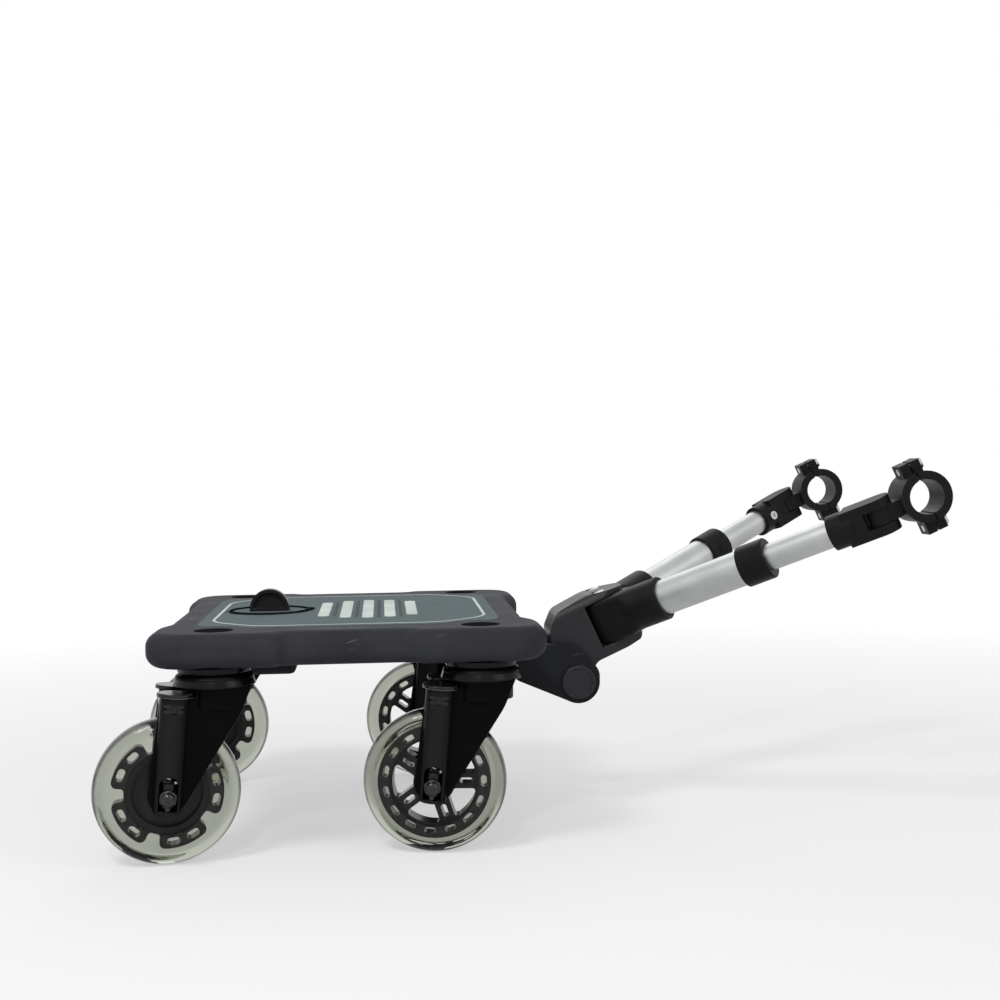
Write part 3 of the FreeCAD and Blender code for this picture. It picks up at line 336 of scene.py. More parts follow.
@dataclass(frozen=True)
class Moulded(Finish):
    """Moulded plastic with a fine grain, an uneven tone, rubbed edges and a few handling marks; on the strut
    caps the edge colour is a bright painted highlight.
    """

    grain: float = 0.0005
    relief: float = 0.00006
    relief_strength: float = 0.55
    mottle_size: float = 0.035
    mottle_share: float = 0.16
    rough_swing: float = 0.14
    gloss: float = 0.2
    edge_radius: float = 0.0006
    edge_wear_and_glint_size: float = 0.005
    edge_wear_and_glint_share: float = 0.3
    edge_wear_and_glint_range: tuple[float, float] = (0.42, 0.68)
    scuff_and_glint_colour: Colour = (0.16, 0.16, 0.165)
    scuff_share: float = 0.0
    streak_size: float = 0.004
    streak_turn: float = 0.25
    streak_stretch: tuple[float, float, float] = (0.22, 1.0, 1.7)
    streak_range: tuple[float, float] = (0.63, 0.7)
    patch_size: float = 0.05
    patch_range: tuple[float, float] = (0.52, 0.66)

    def shade(self, bench: ShaderBench) -> None:
        """Builds the shader.

        Args:
            bench: the material's nodes.
        """
        cloud = bench.noise(self.mottle_size, detail=4.0)
        tone = bench.blend(bench.spread(cloud, *NOISE_RANGE), shaded(self.colour, -self.mottle_share),
                           shaded(self.colour, self.mottle_share))
        rough = bench.spread(cloud, *NOISE_RANGE, self.roughness * (1.0 - self.rough_swing),
                             min(1.0, self.roughness * (1.0 + self.rough_swing)))
        soft, near_edge = bench.edges(self.edge_radius)
        # edge colour: rubbing on most finishes, a painted highlight on the strut caps
        tone = bench.blend(bench.product(near_edge, self.edge_wear_and_glint(bench)), tone, self.scuff_and_glint_colour)
        # some finishes add a painted highlight to the tone here
        tone = self.with_painted_highlight(bench, tone)
        if self.scuff_share > 0.0:
            tone = bench.blend(self.marks(bench), tone, self.scuff_and_glint_colour)
        normal = bench.bump(bench.noise(self.grain, detail=2.0), self.relief, self.relief_strength, soft)
        bench.give(Base_Color=tone, Roughness=rough, Normal=normal, Specular_IOR_Level=self.gloss)

    def edge_wear_and_glint(self, bench: ShaderBench) -> Socket:
        """How far the edges take the edge colour, from place to place: rubbing on most finishes, a painted
        highlight on the strut caps.
        """
        return bench.spread(bench.noise(self.edge_wear_and_glint_size, detail=3.0), *self.edge_wear_and_glint_range, 0.0, self.edge_wear_and_glint_share)

    def with_painted_highlight(self, bench: ShaderBench, tone: Socket) -> Socket:
        """The tone, to which this plastic adds no painted highlight."""
        return tone

    def marks(self, bench: ShaderBench) -> Socket:
        """Short streaks that lie in patches.

        Args:
            bench: the material's nodes.

        Returns:
            The share of scuffed colour.
        """
        place = bench.turned(Vector((0.0, self.streak_turn, 0.0)), Vector(self.streak_stretch))
        streaks = bench.spread(bench.noise(self.streak_size, 5.0, place), *self.streak_range)
        patches = bench.spread(bench.noise(self.patch_size, detail=2.0), *self.patch_range, 0.0,
                               self.scuff_share)
        return bench.product(streaks, patches)


@dataclass(frozen=True)
class FlangeGlintMoulded(Moulded):
    """Moulded plastic whose edges carry a bright painted highlight only above a height, as on a flange."""

    glint_start: float = 0.1135
    glint_end: float = 0.1145

    def edge_wear_and_glint(self, bench: ShaderBench) -> Socket:
        """How far the edges carry the painted highlight, from place to place.

        Args:
            bench: the material's nodes.

        Returns:
            The share of painted highlight colour on an edge.
        """
        height = bench.add("ShaderNodeSeparateXYZ")
        bench.join(bench.place, height.inputs["Vector"])
        above = bench.spread(height.outputs["Z"], self.glint_start, self.glint_end)
        return bench.product(super().edge_wear_and_glint(bench), above)


@dataclass(frozen=True)
class PaintedHighlightMoulded(Moulded):
    """Moulded plastic with a painted highlight: lighter where it stands furthest from its middle plane, as
    on the struts' fronts.
    """

    middle: tuple[float, float, float] = (0.0, 0.0, 0.0)
    facing: tuple[float, float, float] = (0.0, 1.0, 0.0)
    highlight_colour: Colour = (0.0165, 0.0172, 0.0178)
    highlight_start: float = 0.0225
    highlight_end: float = 0.0298

    def with_painted_highlight(self, bench: ShaderBench, tone: Socket) -> Socket:
        """Blends in the painted highlight.

        Args:
            bench: the material's nodes.
            tone: the tone without the painted highlight.

        Returns:
            The tone with the painted highlight.
        """
        offset = bench.add("ShaderNodeVectorMath", operation="SUBTRACT")
        bench.join(bench.place, offset.inputs[0])
        offset.inputs[1].default_value = self.middle
        depth = bench.add("ShaderNodeVectorMath", operation="DOT_PRODUCT")
        bench.join(offset.outputs["Vector"], depth.inputs[0])
        depth.inputs[1].default_value = self.facing
        reach = bench.add("ShaderNodeMath", operation="ABSOLUTE")
        bench.join(depth.outputs["Value"], reach.inputs[0])
        # painted highlight: a lighter tone on the most protruding faces, such as the struts' fronts, in
        # place of the soft highlight they catch
        highlighted = bench.spread(reach.outputs["Value"], self.highlight_start, self.highlight_end)
        return bench.blend(highlighted, tone, self.highlight_colour)


@dataclass(frozen=True)
class BrushedMetal(Finish):
    """Bright metal with fine draw lines along one direction."""

    run: tuple[float, float, float] = (1.0, 0.0, 0.0)
    line: float = 0.0004
    line_stretch: tuple[float, float, float] = (0.02, 1.0, 1.0)
    relief: float = 0.00001
    relief_strength: float = 0.5
    rough_swing: float = 0.2
    cloud_size: float = 0.02
    darkening: float = 0.07
    lightening: float = 0.05

    def shade(self, bench: ShaderBench) -> None:
        """Builds the shader.

        Args:
            bench: the material's nodes.
        """
        turn = Vector(self.run).rotation_difference(Vector((1.0, 0.0, 0.0))).to_euler()
        lines = bench.noise(self.line, 3.0, bench.turned(Vector(turn), Vector(self.line_stretch)))
        cloud = bench.noise(self.cloud_size, detail=3.0)
        tone = bench.blend(bench.spread(cloud, *NOISE_RANGE), shaded(self.colour, -self.darkening),
                           shaded(self.colour, self.lightening))
        rough = bench.spread(lines, *NOISE_RANGE, self.roughness * (1.0 - self.rough_swing),
                             self.roughness * (1.0 + self.rough_swing))
        bench.give(Base_Color=tone, Roughness=rough, Metallic=1.0,
                   Normal=bench.bump(lines, self.relief, self.relief_strength))


@dataclass(frozen=True)
class ClearCast(Finish):
    """Clear cast polyurethane, tinted through its thickness, with painted shade round the tread's rim."""

    density: float = 66.0
    refraction: float = 1.49
    glare: Colour = (0.35, 0.36, 0.35)
    unshaded_colour: Colour = (1.0, 1.0, 1.0)
    rim_shade_colour: Colour = (0.012, 0.014, 0.0145)
    rim_shade_start: float = 0.94
    rim_shade_end: float = 0.972
    rim_shade_least: float = 0.75
    ripple_size: float = 0.012
    ripple_range: tuple[float, float] = (0.2, 0.6)
    ripple_depth: float = 0.0004
    ripple_strength: float = 0.25

    def shade(self, bench: ShaderBench) -> None:
        """Builds the shader.

        Args:
            bench: the material's nodes.
        """
        ripple = bench.noise(self.ripple_size, detail=2.0)
        reach = bench.add("ShaderNodeAttribute", attribute_name=TREAD).outputs["Fac"]
        # painted shade: the tread's rim is darkened in place of the dark surroundings refracted at the
        # tyre's edge
        rim_shade = bench.product(bench.spread(reach, self.rim_shade_start, self.rim_shade_end),
                               bench.spread(ripple, *self.ripple_range, self.rim_shade_least, 1.0))
        tone = bench.blend(rim_shade, self.unshaded_colour, self.rim_shade_colour)
        bench.give(Base_Color=tone, Roughness=self.roughness, Transmission_Weight=1.0, IOR=self.refraction,
                   Specular_Tint=(*self.glare, 1.0),
                   Normal=bench.bump(ripple, self.ripple_depth, self.ripple_strength))
        tint = bench.add("ShaderNodeVolumeAbsorption")
        tint.inputs["Color"].default_value = (*self.colour, 1.0)
        tint.inputs["Density"].default_value = self.density
        bench.join(tint.outputs["Volume"], bench.tree.nodes["Material Output"].inputs["Volume"])


@dataclass(frozen=True)
class Palette:
    """Every finish of the board that does not depend on a piece's place."""

    deck: Moulded = Moulded("deck_black", (0.036, 0.037, 0.043), 0.5, scuff_share=0.7, gloss=0.015)
    panel: Moulded = Moulded("panel_grey", (0.112, 0.142, 0.148), 0.6, grain=0.0009, relief=0.00012,
                             gloss=0.01)
    ink: Moulded = Moulded("pale_ink", (0.58, 0.64, 0.61), 0.6, grain=0.0009, relief=0.00008, gloss=0.05)
    shade_ink: Moulded = Moulded("shade_ink", (0.042, 0.052, 0.055), 0.6, grain=0.0009, relief=0.00008,
                                 gloss=0.04)
    trim: Moulded = Moulded("trim_black", (0.02, 0.02, 0.021), 0.24, relief=0.00003, gloss=0.03)
    cap: Moulded = Moulded("cap_black", (0.011, 0.011, 0.012), 0.5, relief=0.00003, edge_wear_and_glint_share=0.8,
                           gloss=0.0)
    cup: Moulded = Moulded("cup_black", (0.003, 0.003, 0.003), 0.22, relief=0.00001, gloss=0.14)
    strut: Moulded = Moulded("strut_black", (0.005, 0.005, 0.005), 0.18, relief=0.00001, gloss=0.28)
    # painted highlight: the strut caps' flange edges and latch pads get a bright grey edge colour in place
    # of the glints they catch
    strut_cap: FlangeGlintMoulded = FlangeGlintMoulded("strut_cap_black", (0.006, 0.006, 0.006), 0.16, relief=0.00001,
                                             gloss=0.28, edge_radius=0.0007, edge_wear_and_glint_share=1.0,
                                             edge_wear_and_glint_range=(0.25, 0.5), scuff_and_glint_colour=(0.5, 0.51, 0.51))
    nut: Moulded = Moulded("axle_black", (0.005, 0.005, 0.006), 0.17, relief=0.00001, gloss=0.5)
    hub: Moulded = Moulded("hub_black", (0.0155, 0.0158, 0.0162), 0.2, relief=0.00002, gloss=0.16)
    coupling: Moulded = Moulded("coupling_black", (0.024, 0.025, 0.028), 0.38, scuff_share=0.4, gloss=0.16)
    bracket: Moulded = Moulded("bracket_black", (0.017, 0.018, 0.021), 0.46, scuff_share=0.4, gloss=0.05)
    socket: Moulded = Moulded("socket_black", (0.0105, 0.0105, 0.0115), 0.4, gloss=0.07)
    steel: BrushedMetal = BrushedMetal("bright_steel", (0.5, 0.5, 0.51), 0.28)
    wire: BrushedMetal = BrushedMetal("spring_wire", (0.5, 0.5, 0.52), 0.25)
    clear: ClearCast = ClearCast("clear_cast", (0.46, 0.49, 0.39), 0.03)


PALETTE = Palette()


def rounded(work: BMesh, geom: list, reach: float, segments: int, kind: Rounding = Rounding.EDGES) -> None:
    """Rounds edges, or corners of a flat face.

    Args:
        work: the mesh.
        geom: its edges, or the points at its corners.
        reach: how far the rounding goes back along the sides.
        segments: number of steps in the rounding.
        kind: what it is made on.
    """
    bmesh.ops.bevel(work, geom=geom, offset=reach, offset_type="OFFSET", segments=segments, profile=0.5,
                    affect=kind.value, material=-1)


def raised(work: BMesh, height: float) -> list[BMVert]:
    """Gives a flat mesh its thickness along Z.

    Args:
        work: the mesh, facing up.
        height: the thickness.

    Returns:
        The points of its top.
    """
    new = bmesh.ops.extrude_face_region(work, geom=work.faces[:])["geom"]
    top = [item for item in new if isinstance(item, BMVert)]
    bmesh.ops.translate(work, verts=top, vec=(0.0, 0.0, height))
    bmesh.ops.recalc_face_normals(work, faces=work.faces)
    return top


def rim_of(work: BMesh, points: list[BMVert]) -> list[BMEdge]:
    """The edges that run between some points of a mesh."""
    return [edge for edge in work.edges if all(vert in points for vert in edge.verts)]


def open_edges(work: BMesh) -> list[BMEdge]:
    """The edges round the openings of a mesh."""
    return [edge for edge in work.edges if edge.is_boundary]


def closed(work: BMesh) -> BMesh:
    """Fills the openings of a mesh.

    Args:
        work: the mesh.

    Returns:
        The same mesh with its faces outwards.
    """
    bmesh.ops.holes_fill(work, edges=open_edges(work), sides=0)
    bmesh.ops.recalc_face_normals(work, faces=work.faces)
    return work


def spun_ring(profile: list[tuple[float, float]], rounding: list[float], steps: int) -> BMesh:
    """Spins a closed profile about Y.

    Args:
        profile: corners as (radius, along Y).
        rounding: how far each corner is rounded back along its sides.
        steps: number of steps round the ring.

    Returns:
        The ring as a closed mesh.
    """
    corner_segments = 10
    work = bmesh.new()
    corners = [work.verts.new((radius, along, 0.0)) for radius, along in profile]
    work.faces.new(corners)
    for corner, reach in zip(corners, rounding):
        if reach > 0.0:
            rounded(work, [corner], reach, corner_segments, Rounding.CORNERS)
    face = work.faces[:][0]
    outline = face.edges[:]
    bmesh.ops.delete(work, geom=[face], context="FACES_ONLY")
    bmesh.ops.spin(work, geom=work.verts[:] + outline, cent=(0.0, 0.0, 0.0), axis=(0.0, 1.0, 0.0),
                   angle=FULL_TURN, steps=steps, use_merge=True)
    bmesh.ops.remove_doubles(work, verts=work.verts, dist=1e-6)
    bmesh.ops.recalc_face_normals(work, faces=work.faces)
    return work


def upended(work: BMesh) -> BMesh:
    """Turns a mesh that lies about Y so that it stands about Z.

    Args:
        work: the mesh.

    Returns:
        The same mesh.
    """
    turn = Matrix.Rotation(QUARTER_TURN, 3, "X")
    bmesh.ops.rotate(work, verts=work.verts, cent=(0.0, 0.0, 0.0), matrix=turn)
    return work


def coil(mean_radius: float, wire_radius: float, height: float, turns: int) -> BMesh:
    """A round-wire coil that climbs Z from the origin.

    Args:
        mean_radius: radius of the wire's centre line.
        wire_radius: radius of the wire.
        height: climb of the centre line.
        turns: number of turns.

    Returns:
        The coil as a closed mesh.
    """
    wire_sides = 10
    steps_per_turn = 20
    steps = turns * steps_per_turn
    work = bmesh.new()
    bmesh.ops.create_circle(work, cap_ends=False, segments=wire_sides, radius=wire_radius)
    upended(work)
    bmesh.ops.translate(work, verts=work.verts, vec=(mean_radius, 0.0, 0.0))
    bmesh.ops.spin(work, geom=work.verts[:] + work.edges[:], cent=(0.0, 0.0, 0.0), axis=(0.0, 0.0, 1.0),
                   dvec=(0.0, 0.0, height / steps), angle=FULL_TURN * turns, steps=steps)
    return closed(work)


def screw_head(radius: float, height: float, recess: float, slot: float, depth: float) -> BMesh:
    """A round screw head with a cross recess, standing on the origin along Z.

    Args:
        radius: radius of the head.
        height: height of the head.
        recess: reach of each arm of the cross.
        slot: half width of each arm.
        depth: depth of the recess.

    Returns:
        The head as a closed mesh.
    """
    head_sides = 32
    work = bmesh.new()
    rim = bmesh.ops.create_circle(work, cap_ends=False, segments=head_sides, radius=radius)["verts"]
    quarter = ((recess, -slot), (recess, slot), (slot, slot))
    cross = []
    for quarters in range(4):
        turn = Matrix.Rotation(quarters * QUARTER_TURN, 3, "Z")
        cross.extend(work.verts.new(turn @ Vector((x, y, 0.0))) for x, y in quarter)
    lip = [work.edges.new((cross[index - 1], cross[index])) for index in range(len(cross))]
    bmesh.ops.triangle_fill(work, use_beauty=True, use_dissolve=False, edges=work.edges[:])
    side = [edge for edge in rim_of(work, rim) if edge.is_boundary]
    for loop, drop in ((side, height), (lip, depth)):
        sunk = bmesh.ops.extrude_edge_only(work, edges=loop)["geom"]
        verts = [item for item in sunk if isinstance(item, BMVert)]
        edges = [item for item in sunk if isinstance(item, BMEdge) and item.is_boundary]
        bmesh.ops.translate(work, verts=verts, vec=(0.0, 0.0, -drop))
        bmesh.ops.contextual_create(work, geom=edges)
    bmesh.ops.translate(work, verts=work.verts, vec=(0.0, 0.0, height))
    bmesh.ops.recalc_face_normals(work, faces=work.faces)
    return work


def button(radius: float, height: float, rounding: float, sides: int) -> BMesh:
    """A round or many-sided button with a rounded top, standing on the origin along Z.

    Args:
        radius: distance from its axis to its corners.
        height: its height.
        rounding: radius of its top edge.
        sides: number of its sides.

    Returns:
        The button as a closed mesh.
    """
    top_segments = 6
    work = bmesh.new()
    bmesh.ops.create_circle(work, cap_ends=True, segments=sides, radius=radius)
    rounded(work, rim_of(work, raised(work, height)), rounding, top_segments)
    return work


def drawn(work: BMesh, along: float, wide: float = 1.0, high: float = 1.0) -> list[BMVert]:
    """Draws the one open ring of a mesh on to a new ring along Z.

    Args:
        work: the mesh.
        along: how far the new ring lies beyond the old one.
        wide: how much wider it is along X.
        high: how much wider it is along Y.

    Returns:
        The points of the new ring.
    """
    new = bmesh.ops.extrude_edge_only(work, edges=open_edges(work))["geom"]
    verts = [item for item in new if isinstance(item, BMVert)]
    bmesh.ops.translate(work, verts=verts, vec=(0.0, 0.0, along))
    bmesh.ops.scale(work, verts=verts, vec=(wide, high, 1.0))
    return verts


def stand(work: BMesh, foot: Vector, axis: Vector) -> BMesh:
    """Stands a mesh, built along Z, on a point along an axis.

    Args:
        work: the mesh.
        foot: where its origin goes.
        axis: where its Z goes.

    Returns:
        The same mesh.
    """
    turn = Vector((0.0, 0.0, 1.0)).rotation_difference(axis).to_matrix().to_4x4()
    bmesh.ops.transform(work, matrix=Matrix.Translation(foot) @ turn, verts=work.verts)
    return work


def placing(origin: Vector, right: Vector, ahead: Vector, up: Vector) -> Matrix:
    """The matrix that brings X, Y and Z on to three directions at a point."""
    return Matrix.Translation(origin) @ Matrix((right, ahead, up)).transposed().to_4x4()


def gather(pieces: list[BMesh]) -> BMesh:
    """Puts several meshes into one.

    Args:
        pieces: the meshes, which are freed.

    Returns:
        The joined mesh.
    """
    whole = bmesh.new()
    for piece in pieces:
        draft = bpy.data.meshes.new("draft")
        piece.to_mesh(draft)
        piece.free()
        whole.from_mesh(draft)
        bpy.data.meshes.remove(draft)
    return whole


def settle(work: BMesh, name: str, finish: Finish, body: str,
           replaced: tuple[str, ...] = (), smooth: float = 35.0) -> bpy.types.Object:
    """Turns a finished mesh into a piece that rides on a body.

    Args:
        work: the mesh, already in its place.
        name: the piece's name.
        finish: its finish.
        body: the body that it moves with.
        replaced: solids that it stands for.
        smooth: angle in degrees above which an edge stays sharp.

    Returns:
        The piece.
    """
    mesh = bpy.data.meshes.new(name)
    work.to_mesh(mesh)
    work.free()
    mesh.shade_smooth()
    mesh.set_sharp_from_angle(angle=math.radians(smooth))
    mesh.materials.append(finish.material())
    piece = bpy.data.objects.new(name, mesh)
    bpy.context.scene.collection.objects.link(piece)
    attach(piece, body)
    if replaced:
        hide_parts(*replaced)
    LOG.info("piece %s rides on %s", name, body)
    return piece


class Frame:
    """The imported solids, their bodies and joints."""

    def __init__(self) -> None:
        """Loads the frame and keeps its box."""
        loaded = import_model()
        self.nodes: dict[str, bpy.types.Object] = loaded["nodes"]
        self.joints: dict[str, dict] = {joint["name"]: joint for joint in loaded["joints"]}
        self.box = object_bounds()

    def dress(self, node: str, finish: Finish) -> None:
        """Gives a solid its finish.

        Args:
            node: the solid's name.
            finish: the finish.
        """
        mesh = self.nodes[node].data
        mesh.materials.clear()
        mesh.materials.append(finish.material())
        LOG.info("solid %s has finish %s", node, finish.name)

    def middle(self, node: str) -> Vector:
        """The middle of a solid's box."""
        low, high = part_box(node)
        return (low + high) / 2.0

    def axis(self, joint: str) -> Vector:
        """The direction of a joint's axis."""
        return Vector(self.joints[joint]["axis"]).normalized()

    def pivot(self, joint: str) -> Vector:
        """The place of a hinge."""
        return Vector(self.joints[joint]["pos_m"])


@dataclass
class Deck:
    """The standing deck and what is fixed to it."""

    frame: Frame
    stripe_reach: tuple[float, float] = (0.1, 0.111)
    stripe_width: float = 0.0022
    stripe_corner: float = 0.034
    stripe_rounding: float = 0.014
    stripe_segments: int = 8
    ink_thickness: float = 0.00012
    ink_sink: float = 0.00004
    bar_lengths: tuple[float, ...] = (0.108, 0.132, 0.14, 0.132, 0.108)
    bar_pitch: float = 0.0165
    bar_width: float = 0.0085
    bar_start: float = -0.02
    bar_sides: int = 32
    shade_width: float = 0.0026

    def build(self) -> None:
        """Dresses the solids and prints the panel."""
        for node, finish in (("deck_shell", PALETTE.deck), ("plug_housing", PALETTE.deck),
                             ("grip_panel", PALETTE.panel), ("corner_caps", PALETTE.cap),
                             ("swivel_cups", PALETTE.cup), ("kingpins", PALETTE.steel)):
            self.frame.dress(node, finish)
        self.print_stripe()
        self.print_bars()
        self.print_shades()

    def lift(self, work: BMesh) -> None:
        """Gives flat ink its thickness and lays it on the panel.

        Args:
            work: the flat print, facing up at the origin.
        """
        raised(work, self.ink_thickness)
        middle = self.frame.middle("grip_panel")
        top = Vector((middle.x, middle.y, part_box("grip_panel")[1].z))
        bmesh.ops.translate(work, verts=work.verts, vec=top - Vector((0.0, 0.0, self.ink_sink)))

    def print_stripe(self) -> bpy.types.Object:
        """A pale pinstripe with cut corners round the panel.

        Returns:
            The piece.
        """
        work = bmesh.new()
        bmesh.ops.create_grid(work, x_segments=1, y_segments=1, size=1.0)
        bmesh.ops.scale(work, verts=work.verts, vec=(*self.stripe_reach, 1.0))
        for reach, segments in ((self.stripe_corner, 1), (self.stripe_rounding, self.stripe_segments)):
            rounded(work, work.verts[:], reach, segments, Rounding.CORNERS)
        inner = work.faces[:]
        bmesh.ops.inset_region(work, faces=inner, thickness=self.stripe_width, use_boundary=True,
                               use_even_offset=True)
        bmesh.ops.delete(work, geom=inner, context="FACES")
        self.lift(work)
        return settle(work, "panel_stripe", PALETTE.ink, "deck")

    def print_bars(self) -> bpy.types.Object:
        """Pale rounded tread bars across the middle of the panel.

        Returns:
            The piece.
        """
        starts = [self.bar_start + index * self.bar_pitch for index in range(len(self.bar_lengths))]
        return settle(self.bars(starts, self.bar_width), "panel_bars", PALETTE.ink, "deck")

    def print_shades(self) -> bpy.types.Object:
        """Thin dark lines between the pale bars.

        Returns:
            The piece.
        """
        starts = [self.bar_start + (index + 0.5) * self.bar_pitch
                  for index in range(len(self.bar_lengths) - 1)]
        work = self.bars(starts, self.shade_width)
        return settle(work, "panel_shades", PALETTE.shade_ink, "deck")

    def bars(self, starts: list[float], width: float) -> BMesh:
        """Rounded bars across the panel.

        Args:
            starts: the place of each bar along the panel.
            width: the bars' width.

        Returns:
            The bars as raised ink.
        """
        work = bmesh.new()
        for start, length in zip(starts, self.bar_lengths):
            verts = bmesh.ops.create_circle(work, cap_ends=True, segments=self.bar_sides,
                                            radius=width / 2.0)["verts"]
            slide = (length - width) / 2.0
            for vert in verts:
                vert.co.y += math.copysign(slide, vert.co.y)
            bmesh.ops.translate(work, verts=verts, vec=(start, 0.0, 0.0))
        self.lift(work)
        return work


@dataclass
class TwistPlug:
    """The quarter-turn plug in the deck."""

    frame: Frame
    rim: float = 0.0022
    rim_steps: int = 96
    face_thickness: float = 0.0004
    face_sink: float = 0.0002
    face_rounding: float = 0.00015
    face_segments: int = 2
    lip_height: float = 0.0014
    pointer_size: float = 0.0042
    pointer_height: float = 0.0018
    pointer_lift: float = 0.0003
    pointer_rounding: float = 0.0004
    pointer_segments: int = 3

    def build(self) -> None:
        """Dresses the plug, lays its grey face and makes its rim."""
        self.frame.dress("twist_plug", PALETTE.trim)
        self.make_face()
        self.make_rim()

    def flange_radius(self) -> float:
        """The radius of the plug's flange."""
        low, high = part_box("twist_plug")
        return (high.x - low.x) / 2.0

    def seat(self, work: BMesh, lift: float = 0.0) -> None:
        """Moves a mesh from the origin on to the flange's top.

        Args:
            work: the mesh.
            lift: how far above the flange's top its origin goes.
        """
        middle = self.frame.middle("twist_plug")
        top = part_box("deck_shell")[1].z
        bmesh.ops.translate(work, verts=work.verts, vec=(middle.x, middle.y, top + lift))

    def make_rim(self) -> bpy.types.Object:
        """The raised rim of the flange, with the pointer that shows the plug's turn.

        Returns:
            The piece.
        """
        outer = self.flange_radius() - self.face_thickness
        inner = outer - self.rim + self.face_thickness
        profile = [(inner, -self.lip_height), (inner, self.lip_height), (outer, self.lip_height),
                   (outer, -self.lip_height)]
        rounding = [0.0, self.face_thickness, self.face_thickness, 0.0]
        ring = upended(spun_ring(profile, rounding, self.rim_steps))
        pointer = bmesh.new()
        bmesh.ops.create_circle(pointer, cap_ends=True, segments=3, radius=self.pointer_size)
        bmesh.ops.rotate(pointer, verts=pointer.verts, cent=(0.0, 0.0, 0.0),
                         matrix=Matrix.Rotation(-QUARTER_TURN, 3, "Z"))
        raised(pointer, self.pointer_height)
        rounded(pointer, pointer.edges[:], self.pointer_rounding, self.pointer_segments)
        bmesh.ops.translate(pointer, verts=pointer.verts, vec=(outer, 0.0, self.pointer_lift))
        work = gather([ring, pointer])
        self.seat(work)
        return settle(work, "plug_rim", PALETTE.cap, "plug")

    def make_face(self) -> bpy.types.Object:
        """A thin grey disc on the plug's flange, round the foot of the grip.

        Returns:
            The piece.
        """
        work = bmesh.new()
        bmesh.ops.create_circle(work, cap_ends=True, segments=self.rim_steps,
                                radius=self.flange_radius() - self.rim)
        top = raised(work, self.face_thickness)
        rounded(work, rim_of(work, top), self.face_rounding, self.face_segments)
        self.seat(work, -self.face_sink)
        return settle(work, "plug_face", PALETTE.panel, "plug")


